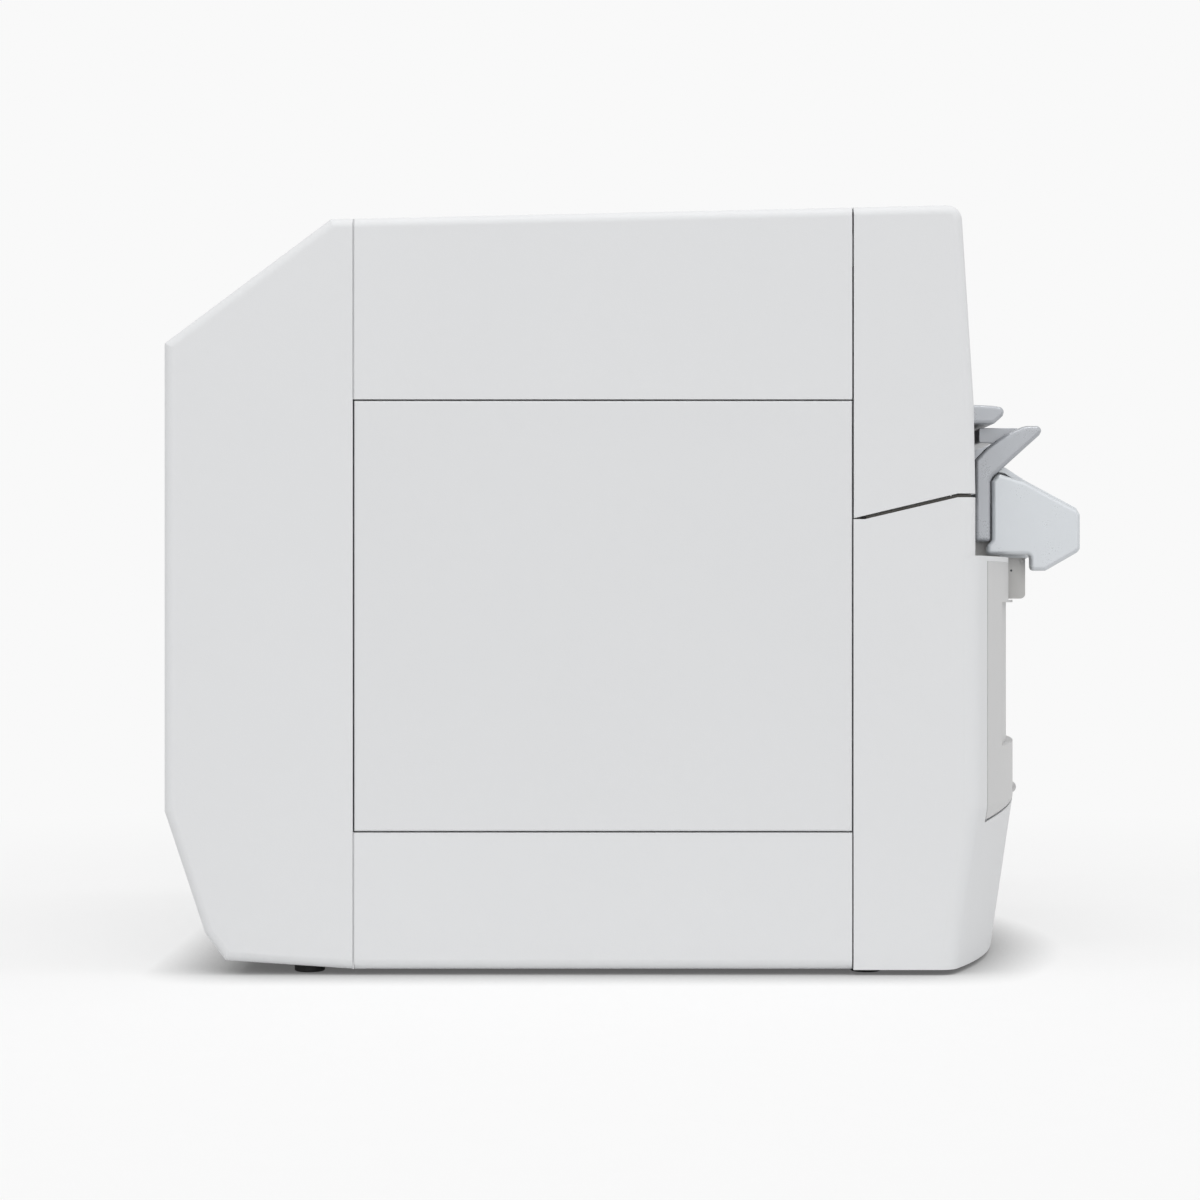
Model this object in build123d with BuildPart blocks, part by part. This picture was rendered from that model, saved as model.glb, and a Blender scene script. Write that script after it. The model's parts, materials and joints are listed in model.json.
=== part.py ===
from build123d import *
from math import acos, cos, pi, radians, sin, tan
import os

os.makedirs("parts", exist_ok=True)

# A compact colour inkjet label printer with a peeler unit on its front.
# Millimetres, +X to the front, +Z up, origin under the middle of the whole machine on the table.

# Casing, front to rear
rear_depth = 111.8
middle_length = 293.5
front_depth = 72.7
peel_reach = 75.4
width = 340.0
wall = 3.0
edge_round = 6.0
seam = 0.8
foot_height = 3.0
rear_top_z = 445.2
top_rise = 8.2
panel_low_z = 84.5
panel_high_z = 337.5
front_split_z = 283.0
split_drop = 14.5
split_shelf = 6.6
split_flat = 11.0
front_lean = 8.0
crown_round = 9.0

length = rear_depth + middle_length + front_depth + peel_reach
rear_x = -length / 2
rear_seam_x = rear_x + rear_depth
front_seam_x = rear_seam_x + middle_length
front_x = front_seam_x + front_depth
nose_x = front_x + peel_reach
half_width = width / 2
inner_y = half_width - wall

# Rear casing outline and the hood set into it
hood_drop = 73.5
hood_run = 98.0
tuck_height = 96.0
tuck_depth = 24.0
tuck_foot_z = 24.0
rim_width = 20.0
hood_tail = 86.0

# Feet
foot_r = 9.0
foot_y = 150.0
rear_foot_x = rear_x + 84.0
front_foot_x = front_seam_x + 9.4
rear_foot_top = 5.5

# Hinges, pins and running room
pin_r = 1.6
pin_room = 0.05
barrel_r = 5.0
door_barrel_r = 4.0
pin_cover = 2.6
gap = 0.4
knuckle = 12.0
boss_t = 8.0

# Upper cover's goose-neck arms: they reach back under the roof and round its front edge
neck_run = 36.0
neck_drop = 4.7
neck_boss_r = 3.5
neck_inner_r = 37.6
neck_outer_r = 46.0

# Lower front: bow, chin and ink door
bow = 44.0
chin_lean = 14.0
door_low_z = 89.5
door_arch = 8.0
door_top_z = 243.4
ledge_t = 3.2
door_half = 152.0
door_gap = 1.2
skin = 3.0
recess_half = 120.0
recess_low_z = 132.0
recess_high_z = 219.0
recess_deep = 4.0
notch_half = 97.0
corner_round = 12.0

# Steel chassis
frame_y = 134.0
frame_t = 2.0
plate_t = 2.0
shaft_r = 4.0
bush_r = 8.0
bush_t = 6.0

# Paper path
feed_x = front_seam_x - 75.0
feed_z = 300.0
feed_r = 10.0
nip_r = 7.0
web_half = 56.0
web_room = 0.4
gear_module = 1.0
feed_teeth = 36
idler_teeth = 24
pinion_teeth = 12
gear_t = 6.0
motor_shaft_r = 1.6
gear_room = 2.0
backlash = 0.2
roll_x = rear_seam_x + 38.0
roll_z = 250.0
core_r = 37.5
flange_r = 62.0

# Peeler unit
cheek_half = 94.0
cheek_t = 8.0
peel_gap = 0.7
pivot_ahead = 21.5
pivot_bush_r = 4.5
pivot_z = 252.6
lever_ahead = 15.9
lever_z = 260.5
stem_width = 8.4
base_front = 42.8
base_low_z = 221.3

# Operation panel
panel_z = 396.0
panel_high = 74.0
panel_half = 62.0
key_travel = 0.8
key_proud = 1.2


def top_z(x):
    # The top line climbs evenly from the rear seam to the front edge.
    return rear_top_z + top_rise * (x - rear_seam_x) / (middle_length + front_depth)


def box_of(x_from, x_to, y_from, y_to, z_from, z_to):
    # A plain block given by its six faces.
    with BuildPart() as piece:
        with Locations(((x_from + x_to) / 2, (y_from + y_to) / 2, (z_from + z_to) / 2)):
            Box(x_to - x_from, y_to - y_from, z_to - z_from)
    return piece.part


def slab(outline, y_from, y_to, rounding=0.0):
    # A side outline in X and Z, carried across the machine from y_from to y_to.
    with BuildPart() as piece:
        with BuildSketch(Plane.XZ.offset(-y_from)) as face:
            with BuildLine():
                Polyline(*outline, close=True)
            make_face()
            if rounding:
                fillet(face.vertices(), rounding)
        extrude(amount=-(y_to - y_from))
    return piece.part


def rod(x, z, radius, y_from, y_to):
    # A round bar across the machine.
    with BuildPart() as piece:
        with BuildSketch(Plane.XZ.offset(-y_from)):
            with Locations((x, z)):
                Circle(radius)
        extrude(amount=-(y_to - y_from))
    return piece.part


def lower_outline(front, side_front, rounding, half, rear):
    # Plan outline of the lower front: straight sides, round corners and a bowed face.
    with BuildSketch() as plan:
        with BuildLine():
            Polyline((side_front, -half), (rear, -half), (rear, half), (side_front, half))
            ThreePointArc((side_front, -half), (front, 0), (side_front, half))
        make_face()
        sides = plan.vertices().group_by(Axis.X)[-1]
        fillet(sides, rounding)
    return plan.sketch


def bowed_front(inset, z_from, z_to):
    # The lower front as a solid, its bowed face moved in by inset. The chin leans back below the door.
    half = half_width - inset
    rear = front_seam_x + seam / 2 - (2 if inset else 0)
    knee_z = door_low_z + door_arch
    sections = []
    for z in sorted({z_from, min(max(knee_z, z_from), z_to), z_to}):
        lean = chin_lean * max(0.0, knee_z - z) / (knee_z - foot_height)
        side_front = front_x - inset - lean
        plan = lower_outline(side_front + bow, side_front, corner_round - inset, half, rear)
        sections.append(plan.moved(Location((0, 0, z))))
    with BuildPart() as piece:
        add(sections)
        loft(ruled=True)
    return piece.part


def gear(teeth, x, z, y_from, y_to, turn):
    # A spur gear with involute flanks; turn is the angle of its first tooth in degrees.
    pitch = gear_module * teeth / 2
    base = pitch * cos(radians(20))
    tip = pitch + gear_module * 0.95
    root = pitch - gear_module * 1.2
    low = max(root, base)
    flank = [low, (low + pitch) / 2, pitch, (pitch + tip) / 2, tip]

    def involute(radius):
        angle = acos(min(1.0, base / radius))
        return tan(angle) - angle

    half_tooth = pi / (2 * teeth) - backlash / (2 * pitch)
    rise = [(root, half_tooth + involute(pitch))]
    rise += [(r, half_tooth + involute(pitch) - involute(r)) for r in flank]
    corners = []
    for tooth in range(teeth):
        middle = radians(turn) + 2 * pi * tooth / teeth
        sides = [(r, middle - a) for r, a in rise] + [(r, middle + a) for r, a in reversed(rise)]
        corners += [(x + r * cos(a), z + r * sin(a)) for r, a in sides]
    return slab(corners, y_from, y_to)


def finish(piece, name):
    piece.label = name
    export_step(piece, f"parts/{name}.step")


# Rear casing: a deep moulded shell, tucked in at the foot and sloped at the top
rear_line = [
    (rear_x, tuck_height),
    (rear_x, rear_top_z - hood_drop),
    (rear_x + hood_run, rear_top_z - 0.3),
    (rear_seam_x - seam / 2, rear_top_z),
    (rear_seam_x - seam / 2, foot_height),
    (rear_x + tuck_depth + 12, foot_height + 5),
    (rear_x + tuck_depth, tuck_foot_z),
]
inner_line = [
    (rear_x + wall, tuck_height),
    (rear_x + wall, rear_top_z - hood_drop - 1.5),
    (rear_x + hood_run, rear_top_z - wall - 0.8),
    (rear_seam_x + 1, rear_top_z - wall),
    (rear_seam_x + 1, foot_height + wall),
    (rear_x + tuck_depth + 14, foot_height + wall + 5),
    (rear_x + tuck_depth + wall, tuck_foot_z),
]
hood_half = half_width - rim_width
hood_axis_x = rear_seam_x - seam - barrel_r
hood_axis_z = rear_top_z - barrel_r - 0.2
hood_low_z = rear_top_z - hood_drop - hood_tail
with BuildPart() as rear_housing:
    add(slab(rear_line, -half_width, half_width))
    long_edges = rear_housing.faces().sort_by(Axis.Y)[0].edges()
    long_edges += rear_housing.faces().sort_by(Axis.Y)[-1].edges()
    seam_edges = [e for e in long_edges if abs(e.center().X - rear_seam_x) < 2]
    fillet([e for e in long_edges if e not in seam_edges], edge_round)
    add(slab(inner_line, -inner_y, inner_y), mode=Mode.SUBTRACT)
    # mouth for the hood, from the lower back up and over to the seam
    add(box_of(rear_x - 1, rear_x + wall + 20, -hood_half, hood_half, hood_low_z, rear_top_z + 5),
        mode=Mode.SUBTRACT)
    add(box_of(rear_x + 1, rear_seam_x + 1, -hood_half, hood_half, rear_top_z - hood_drop - 8,
               rear_top_z + 5), mode=Mode.SUBTRACT)
    # window for the connector panel, low on the back
    add(box_of(rear_x - 1, rear_x + wall + 2, -inner_y + 24, -inner_y + 144, 118, 218),
        mode=Mode.SUBTRACT)
    # bosses in the rims for the hood's hinge pins
    for side in (-1, 1):
        low = min(side * hood_half, side * (hood_half + boss_t))
        add(box_of(hood_axis_x - barrel_r - 1, rear_seam_x - seam / 2, low, low + boss_t,
                   hood_axis_z - barrel_r - 1, rear_top_z - 1))
        add(rod(hood_axis_x, hood_axis_z, pin_r + pin_room, low - 1, low + boss_t), mode=Mode.SUBTRACT)
    # shallow seats for the rear feet
    with BuildSketch(Plane.XY):
        with Locations((rear_foot_x, -foot_y), (rear_foot_x, foot_y)):
            Circle(foot_r + gap / 2)
    extrude(amount=rear_foot_top + 0.1, mode=Mode.SUBTRACT)
    # cooling slots on the other side of the back
    with BuildSketch(Plane.YZ.offset(rear_x - 1)):
        with Locations((inner_y - 80, 165)):
            with GridLocations(0, 9, 1, 9):
                SlotOverall(86, 4)
    extrude(amount=wall + 2, mode=Mode.SUBTRACT)
finish(rear_housing.part, "rear_housing")

# Hood over the label roll: the sloped top and the upper back between the rims
hood_line = [
    (rear_x, hood_low_z + gap + 0.4),
    (rear_x, rear_top_z - hood_drop),
    (rear_x + hood_run, rear_top_z - 0.3),
    (hood_axis_x, rear_top_z - 0.2),
    (hood_axis_x + barrel_r - 0.2, hood_axis_z),
]
hood_inner = [
    (hood_axis_x + pin_cover, hood_axis_z),
    (hood_axis_x, hood_axis_z + pin_cover),
    (hood_axis_x - 6, rear_top_z - 0.2 - wall),
    (rear_x + hood_run, rear_top_z - 0.5 - wall),
    (rear_x + wall, rear_top_z - hood_drop - 1.5),
    (rear_x + wall, hood_low_z + gap + 0.4),
]
hood_side = hood_half - gap
ear_y = hood_side - knuckle
with BuildPart() as roll_cover:
    add(slab(hood_line + hood_inner, -hood_side, hood_side))
    for side in (-1, 1):
        low = min(side * ear_y, side * hood_side)
        add(slab([(rear_x + wall, hood_low_z + 20), (rear_x + wall + 9, hood_low_z + 20),
                  (rear_x + wall + 9, rear_top_z - hood_drop - 8),
                  (rear_x + hood_run - 8, rear_top_z - 17), (rear_x + hood_run - 8, rear_top_z - 10),
                  (rear_x + wall, rear_top_z - hood_drop - 2)],
                 low + 4, low + 7))
        add(rod(hood_axis_x, hood_axis_z, barrel_r - 0.2, low, low + knuckle))
        add(rod(hood_axis_x, hood_axis_z, pin_r + pin_room, low - 1, low + knuckle + 1),
            mode=Mode.SUBTRACT)
    # finger grip pressed into the back edge
    add(box_of(rear_x - 1, rear_x + wall + 1, -32, 32, hood_low_z, hood_low_z + 14), mode=Mode.SUBTRACT)
    add(slab([(rear_x + wall - 1, hood_low_z + 2), (rear_x + wall + 10, hood_low_z + 2),
              (rear_x + wall + 10, hood_low_z + 17), (rear_x + wall - 1, hood_low_z + 17),
              (rear_x + wall - 1, hood_low_z + 14), (rear_x + wall + 8, hood_low_z + 14),
              (rear_x + wall + 8, hood_low_z + 4), (rear_x + wall - 1, hood_low_z + 4)], -34, 34))
finish(roll_cover.part, "roll_cover")

with BuildPart() as hood_pins:
    for side in (-1, 1):
        low = min(side * (ear_y + 1), side * (hood_half + boss_t - 1))
        add(rod(hood_axis_x, hood_axis_z, pin_r, low, low + hood_half + boss_t - ear_y - 2))

# Middle casing: a tray below, a cap above and a square panel on each side
middle_rear = rear_seam_x + seam / 2
middle_front = front_seam_x - seam / 2


with BuildPart() as base_tray:
    add(box_of(middle_rear, middle_front, -half_width, half_width, foot_height, panel_low_z - seam))
    low_edges = base_tray.edges().filter_by(Axis.X).group_by(Axis.Z)[0]
    fillet(low_edges, edge_round)
    add(box_of(middle_rear - 1, middle_front + 1, -inner_y, inner_y, foot_height + wall, panel_low_z),
        mode=Mode.SUBTRACT)
    # lips that catch the side panels, and air slots in the floor
    for side in (-1, 1):
        low = min(side * (inner_y - 4), side * inner_y)
        add(box_of(middle_rear + 20, middle_front - 20, low, low + 4, panel_low_z - 12, panel_low_z - seam))
    with BuildSketch(Plane.XY.offset(foot_height - 1)):
        with GridLocations(11, 0, 12, 1):
            SlotOverall(120, 4, rotation=90)
    extrude(amount=wall + 2, mode=Mode.SUBTRACT)
finish(base_tray.part, "base_tray")

with BuildPart() as top_cover:
    add(slab([(middle_rear, panel_high_z + seam), (middle_rear, top_z(middle_rear)),
              (middle_front, top_z(middle_front)), (middle_front, panel_high_z + seam)],
             -half_width, half_width))
    top_edges = [e for e in top_cover.edges() if abs(e.tangent_at(0.5).X) > 0.9 and e.center().Z > 440]
    fillet(top_edges, edge_round)
    add(slab([(middle_rear - 1, panel_high_z), (middle_rear - 1, top_z(middle_rear) - wall),
              (middle_front + 1, top_z(middle_front) - wall), (middle_front + 1, panel_high_z)],
             -inner_y, inner_y), mode=Mode.SUBTRACT)
    # stiffening ribs across the roof
    for x in (middle_rear + 60, middle_rear + 130, middle_rear + 200):
        add(box_of(x, x + 2, -inner_y, inner_y, top_z(x) - wall - 5, top_z(x) - wall + 0.2))
finish(top_cover.part, "top_cover")

for name, side in (("left_side_panel", 1), ("right_side_panel", -1)):
    outer = side * half_width
    with BuildPart() as side_panel:
        low = min(outer - side * wall, outer)
        add(box_of(middle_rear, middle_front, low, low + wall, panel_low_z, panel_high_z))
        rim = side_panel.faces().sort_by(Axis.Y)[-1 if side > 0 else 0].edges()
        fillet(rim, 1.2)
        # catches on the inside, and a finger scoop at the lower edge
        for x in (middle_rear + 40, middle_front - 40):
            low = min(outer - side * (wall + 6), outer - side * wall)
            add(box_of(x - 8, x + 8, low, low + 6, panel_high_z - 20, panel_high_z - 4))
            add(box_of(x - 8, x + 8, low, low + 6, panel_low_z + 4, panel_low_z + 20))
    finish(side_panel.part, name)

# Lower front: bowed housing with the ink door's mouth
knee_z = door_low_z + door_arch
split_low_z = front_split_z - split_drop
split_gap = 2.2
window_rear = front_x - 40


def door_window(grow):
    # The mouth of the ink door: straight sides and top, and a lower edge that arches up in the middle.
    half = door_half + grow
    with BuildPart() as piece:
        with BuildSketch(Plane.YZ.offset(window_rear)):
            with BuildLine():
                Polyline((-half, door_low_z - grow), (-half, door_top_z), (half, door_top_z),
                         (half, door_low_z - grow))
                ThreePointArc((half, door_low_z - grow), (0, knee_z - grow), (-half, door_low_z - grow))
            make_face()
        extrude(amount=40 + bow + 10)
    return piece.part


ledge_top = door_top_z + ledge_t
upper_face = [
    (front_seam_x + seam / 2, ledge_top - 1),
    (front_seam_x + seam / 2, split_low_z - 0.6),
    (front_seam_x + seam / 2 + split_shelf, split_low_z - 0.6),
    (front_x - split_flat, front_split_z - split_gap),
    (front_x, front_split_z - split_gap),
    (front_x, ledge_top - 1),
]
with BuildPart() as front_lower_housing:
    add(slab(upper_face, -half_width, half_width))
    front_edges = front_lower_housing.edges().filter_by(Axis.Z).group_by(Axis.X)[-1]
    fillet(front_edges, edge_round)
    add(bowed_front(0, foot_height, ledge_top))
    add(bowed_front(wall, foot_height + wall, door_top_z), mode=Mode.SUBTRACT)
    add(box_of(front_seam_x - 1, front_x - wall, -inner_y, inner_y, door_top_z - 1, front_split_z + 1),
        mode=Mode.SUBTRACT)
    add(door_window(door_gap), mode=Mode.SUBTRACT)
    # the way through for the peeler unit and the labels
    add(box_of(front_x - 12, front_x + bow + 5, -notch_half, notch_half, door_top_z - 5, front_split_z + 1),
        mode=Mode.SUBTRACT)
    # inner bosses for the door's hinge
    hinge_x = front_x + bow - door_barrel_r
    hinge_z = knee_z + door_barrel_r
    for side in (-1, 1):
        low = min(side * 26, side * 36)
        add(slab([(front_x + 8, foot_height + wall), (front_x + 8, hinge_z + 3), (hinge_x, hinge_z + 3),
                  (hinge_x + 3, hinge_z), (hinge_x + 3, hinge_z - 3), (hinge_x - 2, hinge_z - 12),
                  (front_x + 16, foot_height + wall)], low, low + 10))
    add(rod(hinge_x, hinge_z, pin_r, -40, 40), mode=Mode.SUBTRACT)
finish(front_lower_housing.part, "front_lower_housing")

# Ink door: a bowed grey panel with a shallow field, a notch for the peeler foot and two hinge ears
with BuildPart() as ink_door:
    add(bowed_front(0, door_low_z - 2, door_top_z + 2))
    add(bowed_front(skin, door_low_z - 3, door_top_z + 3), mode=Mode.SUBTRACT)
    add(door_window(-gap), mode=Mode.INTERSECT)
    # backing behind the sunk field
    field = box_of(front_x, front_x + bow + 5, -recess_half, recess_half, recess_low_z, recess_high_z)
    with BuildPart() as backing:
        add(bowed_front(skin - 0.5, recess_low_z - skin, recess_high_z + skin))
        add(bowed_front(recess_deep + skin, recess_low_z - 9, recess_high_z + 9), mode=Mode.SUBTRACT)
        add(box_of(front_x, front_x + bow + 5, -recess_half - skin, recess_half + skin,
                   recess_low_z - skin, recess_high_z + skin), mode=Mode.INTERSECT)
    with BuildPart() as sunk:
        add(bowed_front(0, recess_low_z, recess_high_z))
        add(bowed_front(recess_deep, recess_low_z - 2, recess_high_z + 2), mode=Mode.SUBTRACT)
        add(field, mode=Mode.INTERSECT)
    add(backing.part)
    add(sunk.part, mode=Mode.SUBTRACT)
    add(box_of(front_x - 5, front_x + bow + 5, -notch_half, notch_half, recess_high_z + 1.5, door_top_z + 5),
        mode=Mode.SUBTRACT)
    # barrel along the lower edge, with gaps for the housing's two bosses
    add(rod(hinge_x, hinge_z, door_barrel_r - 0.4, -44, 44))
    for side in (-1, 1):
        low = min(side * 25.4, side * 36.6)
        add(box_of(hinge_x - 8, hinge_x + 9, low, low + 11.2, knee_z - 6, hinge_z + 5.5), mode=Mode.SUBTRACT)
    add(rod(hinge_x, hinge_z, pin_r + pin_room, -50, 50), mode=Mode.SUBTRACT)
finish(ink_door.part, "ink_door")

with BuildPart() as door_pin:
    add(rod(hinge_x, hinge_z, pin_r, -43, 43))

# Upper front cover: hinged on two goose-neck arms behind the front seam
cover_axis_x = front_seam_x - seam / 2 - neck_run
cover_axis_z = top_z(front_seam_x) - wall - neck_drop
cover_rear = front_seam_x + seam / 2 + 0.2
crown_z = top_z(front_x)
knee_lean_z = panel_high_z
knee_lean = 1.0
cover_line = [
    (cover_rear, split_low_z),
    (cover_rear, top_z(cover_rear)),
    (front_x - front_lean - 0.4, crown_z),
    (front_x - knee_lean, knee_lean_z),
    (front_x, front_split_z),
    (front_x - split_flat, front_split_z),
]
cover_inside = [
    (cover_rear - 2, split_low_z - 2),
    (cover_rear - 2, top_z(cover_rear) - wall),
    (front_x - front_lean - wall - 1, crown_z - wall),
    (front_x - knee_lean - wall, knee_lean_z),
    (front_x - wall, front_split_z - 2),
]


def round_axis(radius, angle):
    # A point in the side view, turned round the cover's hinge line.
    return (cover_axis_x + radius * cos(radians(angle)), cover_axis_z + radius * sin(radians(angle)))


neck_top = cover_axis_z + neck_drop + wall / 2
neck_line = [round_axis(neck_boss_r - 0.1, 25), round_axis(neck_inner_r, -60)]
neck_line += [round_axis(neck_inner_r, angle) for angle in (-48, -36, -24, -12, -3)]
neck_line += [(cover_axis_x + neck_inner_r, neck_top), (cover_axis_x + 62, neck_top),
              (cover_axis_x + 62, cover_axis_z + 2), (cover_axis_x + 51, cover_axis_z - 3)]
neck_line += [round_axis(neck_outer_r, angle) for angle in (-14, -26, -38, -50, -62, -70)]
neck_line += [round_axis(neck_boss_r - 0.1, 205)]
panel_tilt = 3.8
panel_x = front_x - knee_lean - (panel_z - knee_lean_z) * tan(radians(panel_tilt))
panel_plane = Plane(origin=(panel_x, 0, panel_z), x_dir=(0, 1, 0),
                    z_dir=(cos(radians(panel_tilt)), 0, sin(radians(panel_tilt))))
with BuildPart() as front_top_cover:
    add(slab(cover_line, -half_width, half_width))
    crown = [e for e in front_top_cover.edges().filter_by(Axis.Y) if e.center().Z > crown_z - 2
             and e.center().X > front_seam_x + 30]
    fillet(crown, crown_round)
    faces = front_top_cover.faces().sort_by(Axis.Y)
    rims = [e for e in faces[0].edges() + faces[-1].edges()
            if e.center().X > front_x - 25 and e.center().Z > front_split_z + 5 or
            e.center().Z > crown_z - 5 and e.length > 20]
    fillet(rims, edge_round)
    add(slab(cover_inside, -inner_y, inner_y), mode=Mode.SUBTRACT)
    # open middle above the peeler unit
    add(box_of(front_x - 20, front_x + 10, -notch_half - 15, notch_half + 15, front_split_z - 5,
               panel_high_z - 8.5), mode=Mode.SUBTRACT)
    # window behind the operation panel
    with BuildSketch(panel_plane.offset(-12)):
        Rectangle(2 * panel_half - 6, panel_high - 6)
    extrude(amount=16, mode=Mode.SUBTRACT)
    with BuildSketch(panel_plane.offset(-1.6)):
        RectangleRounded(2 * panel_half + 2 * gap, panel_high + 2 * gap, 5)
    extrude(amount=16, mode=Mode.SUBTRACT)
    for side in (-1, 1):
        low = min(side * (inner_y - knuckle - 2), side * (inner_y - 2))
        add(slab(neck_line, low, low + knuckle))
        add(rod(cover_axis_x, cover_axis_z, neck_boss_r, low, low + knuckle))
        add(rod(cover_axis_x, cover_axis_z, pin_r + pin_room, low - 1, low + knuckle + 1),
            mode=Mode.SUBTRACT)
finish(front_top_cover.part, "front_top_cover")

# Visor under the panel: a ledge that shades the label exit
visor_half = notch_half + 8
visor_low = panel_high_z - 8
with BuildPart() as visor:
    add(slab([(front_x - knee_lean, panel_high_z + 3.1), (front_x + 20, panel_high_z + 1.9),
              (front_x + 24.5, panel_high_z + 0.7), (front_x + 26.7, panel_high_z - 1.5),
              (front_x + 26, panel_high_z - 4.5), (front_x + 21.8, visor_low), (front_x, visor_low)],
             -visor_half, visor_half))
finish(visor.part, "visor")

# Pins for the upper cover, held in posts on the chassis
with BuildPart() as cover_pins:
    for side in (-1, 1):
        low = min(side * (inner_y - knuckle - 11), side * (inner_y - 2.5))
        add(rod(cover_axis_x, cover_axis_z, pin_r, low, low + knuckle + 8.5))

# Steel chassis: base plate, two side frames, cross beams
base_low = foot_height + wall
base_rear = rear_x + 52
base_front_x = front_x - 14
with BuildPart() as chassis_base:
    add(box_of(rear_seam_x + 2, base_front_x, -frame_y - 6, frame_y + 6, base_low, base_low + plate_t))
    with BuildSketch(Plane.XY.offset(base_low - 1)):
        with Locations((roll_x + 10, 0)):
            RectangleRounded(150, 160, 12)
    extrude(amount=plate_t + 2, mode=Mode.SUBTRACT)
finish(chassis_base.part, "chassis_base")

frame_low = base_low + plate_t
nip_z = feed_z + feed_r + nip_r + web_room
exit_x = front_seam_x + 40
exit_r = 8.0
exit_z = feed_z + feed_r - exit_r
idler_z = feed_z - gear_module * (feed_teeth + idler_teeth) / 2
pinion_z = idler_z - gear_module * (idler_teeth + pinion_teeth) / 2
peel_pivot_x = front_x + pivot_ahead
lever_pivot_x = front_x + lever_ahead
post_top = cover_axis_z + 3.2
frame_line = [
    (rear_seam_x + 2, frame_low),
    (rear_seam_x + 2, frame_low + 8),
    (base_rear, frame_low + 8),
    (base_rear, rear_top_z - hood_drop + 12),
    (rear_x + hood_run - 4, rear_top_z - 18),
    (cover_axis_x - 20, rear_top_z - 16),
    (cover_axis_x - 6, cover_axis_z - 16),
    (cover_axis_x - 6, post_top),
    (cover_axis_x + 6, post_top),
    (cover_axis_x + 6, cover_axis_z - 16),
    (front_x - 26, cover_axis_z - 60),
    (front_x - 26, front_split_z + 34),
    (front_x - 13, front_split_z + 12),
    (front_x - 13, frame_low),
]
with BuildPart() as side_frame:
    add(slab(frame_line, frame_y, frame_y + frame_t))
    with BuildSketch(Plane.XZ.offset(-frame_y + 1)):
        for x, z in ((roll_x, roll_z), (feed_x, feed_z), (feed_x, nip_z), (exit_x, exit_z)):
            with Locations((x, z)):
                Circle(bush_r)
        with Locations((feed_x, pinion_z)):
            Circle(motor_shaft_r + 2)
        with Locations((roll_x + 10, 130)):
            RectangleRounded(150, 90, 14)
        with Locations((roll_x + 105, 375)):
            RectangleRounded(90, 70, 12)
    extrude(amount=-frame_t - 2, mode=Mode.SUBTRACT)
    # folded foot
    add(box_of(rear_seam_x + 12, base_front_x - 10, frame_y - 12, frame_y + 1,
               frame_low, frame_low + frame_t))
post_y = inner_y - knuckle - 2.5
for name, side in (("left_side_frame", 1), ("right_side_frame", -1)):
    with BuildPart() as frame_plate:
        if side > 0:
            add(side_frame.part)
            add(box_of(cover_axis_x - 6, cover_axis_x + 6, frame_y, post_y, cover_axis_z - 16, post_top))
            add(rod(cover_axis_x, cover_axis_z, pin_r + 0.02, frame_y, inner_y), mode=Mode.SUBTRACT)
        else:
            mirror(side_frame.part, about=Plane.XZ)
            add(box_of(cover_axis_x - 6, cover_axis_x + 6, -post_y, -frame_y, cover_axis_z - 16, post_top))
            add(rod(cover_axis_x, cover_axis_z, pin_r + 0.02, -inner_y, -frame_y), mode=Mode.SUBTRACT)
    finish(frame_plate.part, name)

with BuildPart() as cross_beams:
    for x, z, deep, high in ((base_rear + 4, 330, 10, 24), (rear_seam_x + 70, 404, 24, 10),
                             (front_seam_x - 40, 398, 24, 10), (front_seam_x - 90, 60, 10, 24),
                             (front_x - 26, 226, 8, 18)):
        with BuildPart() as beam:
            add(box_of(x, x + deep, -frame_y, frame_y, z, z + high))
            add(box_of(x + 1.5, x + deep + 1, -frame_y + 1.5, frame_y - 1.5, z + 1.5, z + high - 1.5)
                if deep < high else
                box_of(x + 1.5, x + deep - 1.5, -frame_y + 1.5, frame_y - 1.5, z - 1, z + high - 1.5),
                mode=Mode.SUBTRACT)
        add(beam.part)
finish(cross_beams.part, "cross_beams")

with BuildPart() as shaft_bushes:
    for side in (-1, 1):
        low = min(side * (frame_y - 3), side * (frame_y + frame_t + 1))
        for x, z in ((roll_x, roll_z), (feed_x, feed_z), (feed_x, nip_z), (exit_x, exit_z)):
            add(rod(x, z, bush_r - 0.02, low, low + bush_t))
            add(rod(x, z, shaft_r + pin_room, low - 1, low + bush_t + 1), mode=Mode.SUBTRACT)
finish(shaft_bushes.part, "shaft_bushes")


def roller(x, z, radius, half, shaft_low, shaft_high, grooves):
    # A rubber-faced roller turned round its shaft's line, with shallow grooves.
    with BuildPart() as piece:
        with BuildSketch(Plane.XY) as outline:
            with BuildLine():
                points = [(0, shaft_low), (shaft_r, shaft_low), (shaft_r, -half), (radius - 0.6, -half),
                          (radius, -half + 0.6)]
                for i in range(grooves):
                    y = -half + (i + 1) * 2 * half / (grooves + 1)
                    points += [(radius, y - 2), (radius - 1, y - 1.4), (radius - 1, y + 1.4),
                               (radius, y + 2)]
                points += [(radius, half - 0.6), (radius - 0.6, half), (shaft_r, half),
                           (shaft_r, shaft_high), (0, shaft_high)]
                Polyline(*points, close=True)
            make_face()
        revolve(axis=Axis.Y)
    return piece.part.moved(Location((x, 0, z)))


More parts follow.
